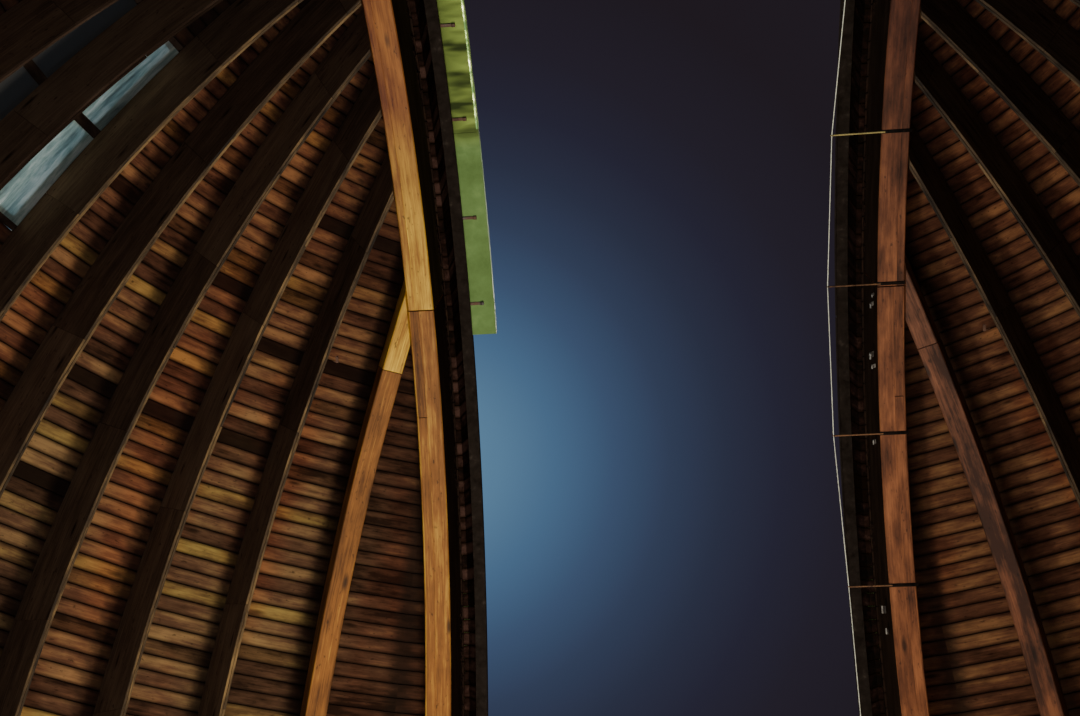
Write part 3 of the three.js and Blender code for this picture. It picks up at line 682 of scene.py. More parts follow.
for name, behind, mirror, window, seed in [("front_left", False, False, True, 3), ("rear_left", True, False, False, 5),
                                           ("rear_right", True, True, False, 7), ("front_right", False, True, False, 8)]:
    boards = boarding_quarter(f"boards_{name}", behind, mirror, window, seed)
    dress(boards, sawn_boards, smooth=0)
    # the board ends beside the slit are soaked with preservative
    boards.data.materials.append(dark_wood)
    for polygon in boards.data.polygons:
        if abs(polygon.normal.x) > 0.9 and abs(abs(polygon.center.x) - SLIT_HALF) < 0.001:
            polygon.material_index = 1
    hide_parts(f"boarding_{name}")
    print(boards.name, len(boards.data.polygons), "faces")
bpy.data.objects.remove(quarter)

# %% [markdown]
# ## Ribs
# A rib is two layers of thin plank, nailed together with their butt joints apart, and sawn to the curve. That
# shows as small steps and changes of tone along its narrow inner edge. Two patterns of plank lengths are made
# once, upright at the front of the dome, and each rib is a turned copy that is cut where it meets a main beam.

# %% Rib patterns
RIB_IN, RIB_OUT, LAYER = 3.800, 4.1784, 0.0126
BEAM_FACE = 1.3253


def rib_pattern(name, joints, seed):
    chance = np.random.default_rng(seed)
    planks = []
    for side, ends in zip((-1, 1), joints):
        near, far = sorted((side * 0.0004, side * (0.0004 + LAYER)))
        for a, b in zip(ends, ends[1:]):
            start = RIB_IN + chance.uniform(0, 0.004)
            planks.append(arc_bar(name, bar(near, far, start, RIB_OUT, 0.0015), a + 0.012, b - 0.012, 2.5))
    pattern = join(name, planks)
    grain_along_slit(pattern, (0, 3.99))
    return pattern


rib_patterns = [
    rib_pattern("rib_pattern_a", [(0.6, 11, 26, 41.5, 56, 70, 88), (0.6, 18.5, 33, 48.5, 63, 88)], 21),
    rib_pattern("rib_pattern_b", [(0.6, 15.5, 30, 44, 59.5, 88), (0.6, 7.5, 22.5, 37, 52.5, 66.5, 88)], 22),
    rib_pattern("rib_pattern_c", [(0.6, 20.5, 34.5, 50, 65, 88), (0.6, 12.5, 28, 43.5, 58, 72, 88)], 23),
]


def rib_group(name, first, mirror, seed):
    """Five ribs on their length of sole plate."""
    parts = []
    for i in range(5):
        bearing = (first + i) * 7.5
        rib = copy_of(rib_patterns[(first + i + (1 if mirror else 0)) % 3], name, bearing)
        parts.append(cut(rib, (-BEAM_FACE, 0, 0), (1, 0, 0)))
    sole = ring_bar(name, [(3.82, 0.0004), (4.168, 0.0004), (4.168, 0.04), (3.82, 0.04)],
                    first * 7.5 - 3.75, (first + 4) * 7.5 + 3.74, 3.75)
    grain_round_dome(sole, (3.99, 0.02))
    parts.append(cut(sole, (-BEAM_FACE, 0, 0), (1, 0, 0)))
    group = join(name, parts)
    if mirror:
        other = copy_of(group, name, mirror=True)
        bpy.data.objects.remove(group)
        group = other
        group.name = name
    # painted shade: the ribs on the right side get darker tones
    number_planks(group, 0.25, seed, tones=(0, 0.30) if mirror else (0.05, 0.8), hues=(0, 0.7))
    return group


for name, first in (("front", 5), ("middle", 10), ("rear", 15)):
    for mirror, side in ((False, "left"), (True, "right")):
        ribs = rib_group(f"planks_{name}_{side}", first, mirror, first + mirror * 40)
        dress(ribs, rib_planks)
        # only the narrow inner edges are planed, the sides are sawn and lightened as painted fill light, and round the
        # window the edges are black as painted shade
        ribs.data.materials.append(rib_sides)
        ribs.data.materials.append(dark_wood)
        for polygon in ribs.data.polygons:
            outwards = (polygon.center - CENTRE).normalized()
            edge_index = 2 if name == "middle" else 0
            polygon.material_index = 1 if abs(polygon.normal.dot(outwards)) < 0.3 else edge_index
        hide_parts(f"ribs_{name}_{side}")

# %% [markdown]
# ## Main beams and braces
# The two beams that border the slit are the heaviest timbers of the dome. Each is built up of lengths that meet
# in a butt joint, with one above the head of the brace. The brace leans against the beam's outer side and is in
# two lengths too. Their edges are eased with a small chamfer, which catches the lamp.

# %% Main beams
BEAM_NEAR, BEAM_FAR, BEAM_IN = 1.184, 1.325, 3.591


def beam_strip(near, far, start, end):
    """One plank of a beam on the left, between two distances from the slit's middle; outer corners are eased."""
    ease_near, ease_far = (0.005 if near == BEAM_NEAR else 0.001), (0.005 if far == BEAM_FAR else 0.001)
    out_near, out_far = (math.sqrt(4.171 ** 2 - x * x) - 0.001 for x in (near, far))
    section = [(-far + ease_far, BEAM_IN), (-near - ease_near, BEAM_IN), (-near, BEAM_IN + ease_near),
               (-near, out_near), (-far, out_far), (-far, BEAM_IN + ease_far)]
    return arc_bar("beam", section, start, end, 2.5)


# near and far side, first and last angle, then tone and hue on the left beam, and tone and hue on the right beam
beam_planks = [
    (1.184, 1.268, 0.02, 50.47, 0.55, 0.60, 0.60, 0.50), (1.268, 1.315, 0.02, 40.97, 0.38, 0.40, 0.52, 0.50),
    (1.268, 1.315, 41.03, 50.47, 0.04, 0.20, 0.48, 0.40), (1.315, 1.325, 0.02, 50.47, 0.80, 0.80, 0.66, 0.50),
    (1.184, 1.284, 50.58, 100.97, 0.95, 0.95, 0.55, 0.40), (1.284, 1.325, 50.58, 100.97, 0.70, 0.90, 0.40, 0.30),
    (1.184, 1.284, 101.03, 151.47, 0.55, 0.60, 0.50, 0.50), (1.284, 1.325, 101.03, 151.47, 0.45, 0.30, 0.45, 0.30),
    (1.184, 1.284, 151.53, 179.98, 0.50, 0.70, 0.60, 0.50), (1.284, 1.325, 151.53, 179.98, 0.60, 0.20, 0.50, 0.20),
]
beam = join("beam", [beam_strip(*plank[:4]) for plank in beam_planks])
grain_along_slit(beam, (-1.2545, 3.77))
for side, mirror, finish in (("left", False, beam_wood), ("right", True, beam_wood_red)):
    piece = copy_of(beam, f"beam_{side}", mirror=mirror)
    number_planks(piece, 0.0705, 31, [plank[6:] if mirror else plank[4:6] for plank in beam_planks])
    dress(piece, finish)
    # the side towards the slit gets rain, so it is coated with black preservative
    piece.data.materials.append(dark_wood)
    towards_slit = -1 if mirror else 1
    for polygon in piece.data.polygons:
        if polygon.normal.x * towards_slit > 0.9 and abs(abs(polygon.center.x) - BEAM_NEAR) < 0.001:
            polygon.material_index = 1
    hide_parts(f"main_beam_{side}")
bpy.data.objects.remove(beam)

# %% Braces
brace_section = bar(-0.0555, 0.0555, RIB_IN, RIB_IN + 0.12, 0.004)
brace = join("brace", [arc_bar("brace", brace_section, a, b, 2.5) for a, b in ((0.02, 41.27), (41.33, 80))])
grain_along_slit(brace, (0, 3.86))
for place, bearing in (("front", 30), ("rear", 150)):
    for side, mirror in (("left", False), ("right", True)):
        piece = cut(copy_of(brace, "brace_cut", bearing), (-BEAM_FACE, 0, 0), (1, 0, 0))
        if mirror:
            other = copy_of(piece, "brace_cut", mirror=True)
            bpy.data.objects.remove(piece)
            piece = other
        piece.name = f"brace_{place}_{side}_dressed"
        number_planks(piece, 0.0555, bearing + mirror, [(0.02, 0.30), (0.05, 0.40)] if mirror else [(0.24, 0.40), (0.85, 0.95)])
        dress(piece, beam_wood_red if mirror else beam_wood)
        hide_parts(f"brace_{place}_{side}")
bpy.data.objects.remove(brace)
for pattern in rib_patterns:
    bpy.data.objects.remove(pattern)

# %% [markdown]
# ## Straight pieces
# Sills, posts, door boards and rails are straight bars. One function extrudes a filled outline along a line, and
# a second one adds a cube at its size and place, turned to its station along the slit, with its edges eased by a
# bevel. A bevel of a millimetre or two is what lets an edge catch the light.

# %% Block helpers
def shift(piece, by):
    """Moves a piece's mesh, so that its object stays at the origin."""
    clear_selection()
    piece.select_set(True)
    bpy.context.view_layer.objects.active = piece
    piece.location = by
    bpy.ops.object.transform_apply()
    return piece


def ease(piece, width, segments=2, angle=40):
    """Bevels every edge that is sharper than an angle."""
    clear_selection()
    piece.select_set(True)
    bpy.context.view_layer.objects.active = piece
    bevel = piece.modifiers.new("eased edges", "BEVEL")
    bevel.width = width
    bevel.segments = segments
    bevel.limit_method = "ANGLE"
    bevel.angle_limit = math.radians(angle)
    bpy.ops.object.modifier_apply(modifier=bevel.name)
    return piece


def prism(name, corners, along):
    """A filled outline, extruded in one direction."""
    piece = outline(name, corners)
    edit(piece)
    bpy.ops.mesh.extrude_region_move(TRANSFORM_OT_translate={"value": along})
    bpy.ops.mesh.select_all(action="SELECT")
    bpy.ops.mesh.normals_make_consistent(inside=False)
    bpy.ops.object.mode_set(mode="OBJECT")
    return piece


def block(name, low, high, angle=0.0, bearing=0.0, eased=0.0):
    """A box between two corners from the dome's centre, turned up the slit by an angle, then round the dome."""
    clear_selection()
    middle = (Vector(low) + Vector(high)) / 2
    bpy.ops.mesh.primitive_cube_add(size=1, location=middle)
    piece = bpy.context.object
    piece.name = name
    piece.scale = Vector(high) - Vector(low)
    bpy.ops.object.transform_apply()
    if eased:
        ease(piece, eased)
    clear_selection()
    piece.select_set(True)
    bpy.context.view_layer.objects.active = piece
    turn = Matrix.Rotation(math.radians(bearing), 4, "Z") @ Matrix.Rotation(math.radians(angle), 4, "X")
    piece.matrix_world = Matrix.Translation(CENTRE) @ turn
    bpy.ops.object.transform_apply()
    return piece


def rod(name, start, end, radius, sides=16, centre=CENTRE):
    """A round rod between two points from the dome's centre, closed at both ends."""
    clear_selection()
    a, b = Vector(start), Vector(end)
    turn = (b - a).to_track_quat("Z", "Y").to_euler()
    bpy.ops.mesh.primitive_cylinder_add(vertices=sides, radius=radius, depth=(b - a).length,
                                        location=centre + (a + b) / 2, rotation=turn)
    piece = bpy.context.object
    piece.name = name
    bpy.ops.object.transform_apply()
    return piece


def bolt(name, place, out, head=0.016, tall=0.009, washer=0.022):
    """A hexagon head on its washer; place is on the surface and out points away from it."""
    spot, way = Vector(place), Vector(out).normalized()
    plate = ease(rod(name, spot - way * 0.001, spot + way * 0.003, washer, 20), 0.0008, 1)
    cap = ease(rod(name, spot + way * 0.0025, spot + way * (0.003 + tall), head, 6), 0.0012, 2)
    return [plate, cap]


# %% [markdown]
# ## Metals and paint
# The iron is hand-forged and flat bar stock, long since rusted brown and rubbed dark where it was oiled. The
# leaves are sheet steel: the inside has an old pale green oil paint, the outside and the dome's skin are zinc,
# which is blue-grey, dull, and lighter in blotches where the weather has laid down its carbonate.

# %% Iron
def iron(name, dark, rusty, metal=0.55):
    """Flat and round bar iron, rolled, with rust blooming through its dark skin."""
    made, shader = new_material(name)
    place = node(made, "ShaderNodeTexCoord")
    rust = node(made, "ShaderNodeTexNoise", {"Vector": place.outputs["Object"], "Scale": 9.0, "Detail": 8.0,
                                             "Roughness": 0.7})
    grit = node(made, "ShaderNodeTexNoise", {"Vector": place.outputs["Object"], "Scale": 160.0, "Detail": 3.0})
    shades = node(made, "ShaderNodeValToRGB", {"Fac": rust.outputs["Fac"]})
    set_stops(shades, [(0.4, dark), (0.55, rusty), (0.7, dark)])
    made.node_tree.links.new(shades.outputs[0], shader.inputs["Base Color"])
    bare = node(made, "ShaderNodeMapRange", {0: rust.outputs["Fac"], 1: 0.42, 2: 0.56, 3: metal, 4: 0.1})
    made.node_tree.links.new(bare.outputs[0], shader.inputs["Metallic"])
    gloss = node(made, "ShaderNodeMapRange", {0: rust.outputs["Fac"], 1: 0.4, 2: 0.6, 3: 0.42, 4: 0.8})
    made.node_tree.links.new(gloss.outputs[0], shader.inputs["Roughness"])
    pits = node(made, "ShaderNodeBump", {"Height": grit.outputs["Fac"], "Strength": 0.3, "Distance": 0.0006})
    made.node_tree.links.new(pits.outputs[0], shader.inputs["Normal"])
    return made


dark_iron = iron("rolled_iron_dark_rust", "#241d19", "#5a3a26")
brown_iron = iron("rolled_iron_brown_rust", "#4a3524", "#7c5636", 0.3)
# above 5.95 m the arms are pale yellow
shader = brown_iron.node_tree.nodes["Principled BSDF"]
place = node(brown_iron, "ShaderNodeTexCoord")
heights = node(brown_iron, "ShaderNodeSeparateXYZ", {0: place.outputs["Object"]})
upper = node(brown_iron, "ShaderNodeMapRange", {0: heights.outputs["Z"], 1: 5.9, 2: 6.0, 3: 0.0, 4: 0.85})
pale_upper_arms = node(brown_iron, "ShaderNodeMix", {0: upper.outputs[0], 6: shader.inputs["Base Color"].links[0].from_socket,
                                             7: linear("#b5a768")}, data_type="RGBA", blend_type="MIX")
brown_iron.node_tree.links.new(pale_upper_arms.outputs[2], shader.inputs["Base Color"])
worn_steel = iron("rolled_steel_worn_bright", "#77736c", "#6a5240", 0.85)

# %% Green painted sheet
leaf_paint, shader = new_material("sheet_steel_pale_green_oil_paint")
place = node(leaf_paint, "ShaderNodeTexCoord")
cloud = node(leaf_paint, "ShaderNodeTexNoise", {"Vector": place.outputs["Object"], "Scale": 5.0, "Detail": 6.0,
                                                "Roughness": 0.65})
smudge_place = node(leaf_paint, "ShaderNodeMapping", {"Vector": place.outputs["Object"], "Scale": (1.6, 7.5, 7.5)})
smudge = node(leaf_paint, "ShaderNodeTexNoise", {"Vector": smudge_place.outputs[0], "Scale": 1.6, "Detail": 2.0,
                                                 "Roughness": 0.5, "Distortion": 0.1})
shades = node(leaf_paint, "ShaderNodeValToRGB", {"Fac": cloud.outputs["Fac"]})
set_stops(shades, [(0.3, "#5c7840"), (0.55, "#6f8f53"), (0.75, "#87a766")])
# above the joint between the two sheets, 6.8 m above the ground, the sheet is mottled with smudges and painted
# reflections
heights = node(leaf_paint, "ShaderNodeSeparateXYZ", {0: place.outputs["Object"]})
upper = node(leaf_paint, "ShaderNodeMapRange", {0: heights.outputs["Z"], 1: 6.74, 2: 6.80, 3: 0.12, 4: 0.95})
marks = node(leaf_paint, "ShaderNodeMapRange", {0: smudge.outputs["Fac"], 1: 0.36, 2: 0.66, 3: 0.0, 4: 1.0})
# towards the upstand, at x = -1.1, the sheet is darker all over
darker_side = node(leaf_paint, "ShaderNodeMapRange", {0: heights.outputs["X"], 1: -1.10, 2: -0.97, 3: 0.8, 4: 0.0})
marks = node(leaf_paint, "ShaderNodeMath", {0: marks.outputs[0], 1: darker_side.outputs[0]}, operation="MAXIMUM")
amount = node(leaf_paint, "ShaderNodeMath", {0: marks.outputs[0], 1: upper.outputs[0]}, operation="MULTIPLY")
# painted sheen: above the joint the paint is lightened to a pale green
sheen_mask = node(leaf_paint, "ShaderNodeMapRange", {0: heights.outputs["Z"], 1: 6.74, 2: 6.80, 3: 0.0, 4: 0.9})
painted_sheen = node(leaf_paint, "ShaderNodeMix", {0: sheen_mask.outputs[0], 6: shades.outputs[0], 7: linear("#9ab257")},
                  data_type="RGBA", blend_type="MIX")
marks_and_reflections = node(leaf_paint, "ShaderNodeMix", {0: amount.outputs[0], 6: painted_sheen.outputs[2], 7: linear("#26301a")},
             data_type="RGBA", blend_type="MIX")
leaf_paint.node_tree.links.new(marks_and_reflections.outputs[2], shader.inputs["Base Color"])
gloss = node(leaf_paint, "ShaderNodeMapRange", {0: smudge.outputs["Fac"], 1: 0.3, 2: 0.7, 3: 0.35, 4: 0.6})
leaf_paint.node_tree.links.new(gloss.outputs[0], shader.inputs["Roughness"])
shader.inputs["Specular IOR Level"].default_value = 0.02
waves = node(leaf_paint, "ShaderNodeBump", {"Height": cloud.outputs["Fac"], "Strength": 0.4, "Distance": 0.004})
leaf_paint.node_tree.links.new(waves.outputs[0], shader.inputs["Normal"])

# %% Zinc
zinc, shader = new_material("rolled_zinc_weathered_patina")
place = node(zinc, "ShaderNodeTexCoord")
bloom = node(zinc, "ShaderNodeTexNoise", {"Vector": place.outputs["Object"], "Scale": 3.4, "Detail": 9.0,
                                          "Roughness": 0.66})
# every sheet has its own tone, and rain has drawn runs down it
sheet = node(zinc, "ShaderNodeAttribute", attribute_name="plank")
chance = node(zinc, "ShaderNodeSeparateXYZ", {0: sheet.outputs["Vector"]})
down = node(zinc, "ShaderNodeAttribute", attribute_name="wood")
apart = node(zinc, "ShaderNodeVectorMath", {0: sheet.outputs["Vector"], 1: (37.0, 11.0, 0.0), 2: down.outputs["Vector"]},
             operation="MULTIPLY_ADD")
run_place = node(zinc, "ShaderNodeMapping", {"Vector": apart.outputs[0], "Scale": (0.9, 14.0, 1.0)})
runs = node(zinc, "ShaderNodeTexNoise", {"Vector": run_place.outputs[0], "Scale": 1.4, "Detail": 6.0,
                                         "Roughness": 0.7})
grains = node(zinc, "ShaderNodeTexVoronoi", {"Vector": place.outputs["Object"], "Scale": 45.0})
blend = node(zinc, "ShaderNodeMath", {0: bloom.outputs["Fac"], 1: 0.6, 2: 0.1}, operation="MULTIPLY_ADD")
for layer, weight in ((runs.outputs["Fac"], 0.5), (chance.outputs[0], 0.20)):
    blend = node(zinc, "ShaderNodeMath", {0: layer, 1: weight, 2: blend.outputs[0]}, operation="MULTIPLY_ADD")
shades = node(zinc, "ShaderNodeValToRGB", {"Fac": blend.outputs[0]})
set_stops(shades, [(0.5, "#6d7678"), (0.75, "#8d9597"), (1.0, "#adb3b2")])
zinc.node_tree.links.new(shades.outputs[0], shader.inputs["Base Color"])
shader.inputs["Metallic"].default_value = 0.4
gloss = node(zinc, "ShaderNodeMapRange", {0: blend.outputs[0], 1: 0.55, 2: 1.0, 3: 0.38, 4: 0.62})
zinc.node_tree.links.new(gloss.outputs[0], shader.inputs["Roughness"])
beaten = node(zinc, "ShaderNodeMath", {0: grains.outputs["Distance"], 1: 0.04, 2: bloom.outputs["Fac"]},
              operation="MULTIPLY_ADD")
waves = node(zinc, "ShaderNodeBump", {"Height": beaten.outputs[0], "Strength": 0.35, "Distance": 0.01})
zinc.node_tree.links.new(waves.outputs[0], shader.inputs["Normal"])

# %% Bitumen
black_zinc, shader = new_material("sheet_zinc_bitumen_coat")
place = node(black_zinc, "ShaderNodeTexCoord")
crazed = node(black_zinc, "ShaderNodeTexNoise", {"Vector": place.outputs["Object"], "Scale": 18.0, "Detail": 8.0,
                                                 "Roughness": 0.7})
shades = node(black_zinc, "ShaderNodeValToRGB", {"Fac": crazed.outputs["Fac"]})
set_stops(shades, [(0.3, "#181411"), (0.6, "#2a2420"), (0.75, "#453e37")])
black_zinc.node_tree.links.new(shades.outputs[0], shader.inputs["Base Color"])
gloss = node(black_zinc, "ShaderNodeMapRange", {0: crazed.outputs["Fac"], 1: 0.3, 2: 0.7, 3: 0.5, 4: 0.8})
black_zinc.node_tree.links.new(gloss.outputs[0], shader.inputs["Roughness"])
skin_bump = node(black_zinc, "ShaderNodeBump", {"Height": crazed.outputs["Fac"], "Strength": 0.3, "Distance": 0.002})
black_zinc.node_tree.links.new(skin_bump.outputs[0], shader.inputs["Normal"])
shader.inputs["Specular IOR Level"].default_value = 0.0
# painted highlight: the rim's colour runs from green to near white in broken streaks, as a highlight along the free
# edge
rim_highlight, shader = new_material("rolled_sheet_edge_rubbed_bright")
place = node(rim_highlight, "ShaderNodeTexCoord")
highlight_breaks = node(rim_highlight, "ShaderNodeTexNoise", {"Vector": place.outputs["Object"], "Scale": 9.0, "Detail": 6.0,
                                                "Roughness": 0.7})
shades = node(rim_highlight, "ShaderNodeValToRGB", {"Fac": highlight_breaks.outputs["Fac"]})
set_stops(shades, [(0.46, "#4c7a34"), (0.54, "#9fc26a"), (0.62, "#e9f4c4")])
rim_highlight.node_tree.links.new(shades.outputs[0], shader.inputs["Base Color"])
gloss = node(rim_highlight, "ShaderNodeMapRange", {0: highlight_breaks.outputs["Fac"], 1: 0.4, 2: 0.7, 3: 0.45, 4: 0.2})
rim_highlight.node_tree.links.new(gloss.outputs[0], shader.inputs["Roughness"])
shader.inputs["Metallic"].default_value = 0.35
tarred_iron = iron("flat_iron_tarred", "#0b0a09", "#1b1410", 0.1)
tarred_iron.node_tree.nodes["Principled BSDF"].inputs["Specular IOR Level"].default_value = 0.05
print("metals:", dark_iron.name, zinc.name, leaf_paint.name, black_zinc.name, rim_highlight.name)

# %% [markdown]
# ## Upstands of the slit
# Short boards stand upright along both sides of the slit and carry a folded zinc lip, which keeps rain from
# running in under the leaves. Inside, both are nearly black with soot. Between the beam and the upstand hang
# scraps of the felt that once sealed the board ends, and a few on the right have curled up and show a pale back.

# %% Upstands
CURB_LOW, CURB_TOP, CURB_NEAR, LIP_NEAR = 4.000, 4.294, 1.145, 1.077
curb_ends = np.linspace(5.47, 100.53, 92)
chance = np.random.default_rng(51)
curb = []
for a, b in zip(curb_ends, curb_ends[1:]):
    short = arc_bar("curb", bar(-CURB_NEAR - 0.030, -CURB_NEAR, CURB_LOW + chance.uniform(0, 0.012), CURB_TOP - 0.005, 0.003),
                    a + 0.02, b - 0.02)
    x, y, z = measure(short).T
    off = (np.arctan2(z, y) - math.radians((a + b) / 2)) * 4.15
    store(short, "wood", "POINT", np.stack([np.hypot(y, z), off, x], axis=1))
    curb.append(short)
curb = join("curb", curb)
lip_section = [(-CURB_NEAR - 0.030, CURB_TOP - 0.005), (-LIP_NEAR - 0.003, CURB_TOP - 0.005),
               (-LIP_NEAR - 0.003, CURB_TOP - 0.014), (-LIP_NEAR, CURB_TOP - 0.014), (-LIP_NEAR, CURB_TOP),
               (-CURB_NEAR - 0.030, CURB_TOP)]
lip = arc_bar("lip", lip_section, 6.47, 99.53)
for side, mirror in (("left", False), ("right", True)):
    upstand = number_planks(copy_of(curb, f"upstand_board_{side}", mirror=mirror), 0.037, 50 + mirror, hues=(0, 0.7),
                            tones=(0, 0.35) if mirror else (0.05, 1))
    dress(upstand, curb_wood)
    fold = copy_of(lip, f"upstand_lip_{side}", mirror=mirror)
    dress(fold, black_zinc)
    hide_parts(f"slit_upstand_{side}")
bpy.data.objects.remove(curb)
bpy.data.objects.remove(lip)


# %% Felt scraps
def felt_scraps(name, fields, seed, side, longest=0.085):
    """Torn scraps that hang from the beam's slit face, one at most boards, in a few fields along it."""
    chance = np.random.default_rng(seed)
    scraps = []
    board_pitch = 76 / 4180 * 57.3
    for angle in [a for first, last in fields for a in np.arange(first, last, board_pitch)]:
        wide = chance.uniform(0.35, 0.9)
        long = chance.uniform(longest * 0.4, longest)
        low = 3.995 - long
        points = []
        for t in (0, 0.25, 0.5, 0.75, 1):
            points.append(on_arc(low + chance.uniform(0, 0.03), angle + wide * t))
        points += [on_arc(3.998, angle + wide), on_arc(3.998, angle)]
        start = -1.1838
        scrap = prism(name, [(start, p[1], p[2]) for p in points], (chance.uniform(0.0015, 0.004), 0, 0))
        if chance.random() < 0.8:
            scraps.append(scrap)
        else:
            bpy.data.objects.remove(scrap)
    scraps = join(name, scraps)
    if side == "right":
        whole = copy_of(scraps, name, mirror=True)
        bpy.data.objects.remove(scraps)
        scraps = whole
        scraps.name = name
    return scraps


felt, shader = new_material("roofing_felt_torn")
place = node(felt, "ShaderNodeTexCoord")
fluff = node(felt, "ShaderNodeTexNoise", {"Vector": place.outputs["Object"], "Scale": 60.0, "Detail": 5.0})
shades = node(felt, "ShaderNodeValToRGB", {"Fac": fluff.outputs["Fac"]})
set_stops(shades, [(0.35, "#17110e"), (0.7, "#30231d")])
felt.node_tree.links.new(shades.outputs[0], shader.inputs["Base Color"])
shader.inputs["Roughness"].default_value = 0.95
shader.inputs["Specular IOR Level"].default_value = 0.0
white_felt, shader = new_material("roofing_felt_whitewashed")
place = node(white_felt, "ShaderNodeTexCoord")
fluff = node(white_felt, "ShaderNodeTexNoise", {"Vector": place.outputs["Object"], "Scale": 26.0, "Detail": 7.0,
                                                "Roughness": 0.75})
shades = node(white_felt, "ShaderNodeValToRGB", {"Fac": fluff.outputs["Fac"]})
set_stops(shades, [(0.40, "#4a423c"), (0.55, "#a39e95"), (0.75, "#cfcac0")])
white_felt.node_tree.links.new(shades.outputs[0], shader.inputs["Base Color"])
shader.inputs["Roughness"].default_value = 0.9
scraps = felt_scraps("felt_scraps_left", [(12, 24), (30, 58), (66, 90)], 61, "left", 0.060)
dress(scraps, felt, smooth=0)
scraps = felt_scraps("felt_scraps_right", [(27, 36), (51, 62), (70, 84)], 62, "right", 0.060)
dress(scraps, felt, smooth=0)
curls = []
for angle, top_r, long, out, wide in ((48.6, 3.70, 0.085, 0.030, 0.022), (49.5, 3.68, 0.060, 0.022, 0.016),
                                      (44.2, 3.71, 0.090, 0.034, 0.030), (43.4, 3.66, 0.050, 0.028, 0.020),
                                      (36.8, 3.72, 0.070, 0.026, 0.024), (22.6, 3.75, 0.110, 0.036, 0.040),
                                      (20.9, 3.73, 0.080, 0.024, 0.030)):
    # a strip that leaves the beam's side and curls back towards the dome's middle, 1.6 mm thick
    line = [(BEAM_NEAR - 0.0002 - out * math.sin(math.pi * 0.62 * t), top_r - long * t) for t in np.linspace(0, 1, 9)]
    line += [(x - 0.0016, r) for x, r in reversed(line)]
    strip = prism("curl", [on_arc(r, angle, x) for x, r in line], station(angle) * wide)
    curls.append(strip)
scraps = join("felt_scraps_right_white", curls)
dress(scraps, white_felt, smooth=40)

# %% Sill and header
sill = block("sill", (-1.1447, 3.930, -0.040), (1.1447, 4.294, 0), angle=6, eased=0.004)
header = block("header", (-1.1447, 3.850, 0), (1.1447, 4.294, 0.040), angle=100, eased=0.004)
for piece, name in ((sill, "slit_sill"), (header, "slit_header")):
    grain_straight(piece, 0)
    number_planks(piece, 0.18, len(name))
    dress(piece, dark_wood)
    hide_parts(name)

# %% Arched ribs behind the slit, and studs under its sill
rear = []
for x in (-0.592, 0.0, 0.592):
    low, high = math.sqrt(3.8 ** 2 - x * x), math.sqrt(4.168 ** 2 - x * x)
    for near, far, ends in ((x - 0.020, x - 0.0004, (100.7, 121, 145, 179.4)), (x + 0.0004, x + 0.020, (100.7, 132, 158, 179.4))):
        for a, b in zip(ends, ends[1:]):
            rear.append(arc_bar("rear", bar(near, far, low, high, 0.0015), a + 0.012, b - 0.012))
rear = join("rear", rear)
grain_along_slit(rear, (0, 3.99))
foot = ring_bar("foot", [(3.82, 0.0004), (4.168, 0.0004), (4.168, 0.04), (3.82, 0.04)], 160, 200, 2.5)
grain_round_dome(foot, (3.99, 0.02))
cut(foot, (-1.1837, 0, 0), (-1, 0, 0))
cut(foot, (1.1837, 0, 0), (1, 0, 0))
rear = number_planks(join("planks_behind_slit", [rear, foot]), 0.25, 71)
dress(rear, rib_planks)
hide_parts("ribs_behind_slit")
studs = []
for i in range(-2, 3):
    stud = arc_bar("stud", bar(-0.013, 0.013, 3.9, RIB_OUT, 0.0015), 0.6, 12)
    turned = copy_of(stud, "stud", i * 7.5)
    bpy.data.objects.remove(stud)
    studs.append(cut(turned, station(6) * -0.0405, station(6)))
for stud in studs:
    grain_along_slit(stud, (0, 4.04))
foot = ring_bar("foot", [(3.82, 0.0004), (4.168, 0.0004), (4.168, 0.04), (3.82, 0.04)], -20, 20, 2.5)
grain_round_dome(foot, (3.99, 0.02))
cut(foot, (-1.1837, 0, 0), (-1, 0, 0))
cut(foot, (1.1837, 0, 0), (1, 0, 0))
studs = number_planks(join("studs_planks", [*studs, foot]), 0.25, 72)
dress(studs, rib_planks)
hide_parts("studs_under_slit")

# %% [markdown]
# ## Sliding leaves
# Each leaf is a curved panel of sheet metal on a light frame, and rolls sideways on rails. From below one sees
# its lining sheets with their lapped joints, dark iron bearers under them, the rolled rim of the free edge and
# the end of the leaf. Above, zinc sheets with standing seams shed the rain. All four leaves have one design, so
# one function makes them, drawn with the free edge at x = 0 and then shifted to its place.

# %% Leaf
LEAF_IN, LEAF_WIDE, RAIL_TOP, ROLLER_R = 4.332, 1.235, 4.302, 0.0146


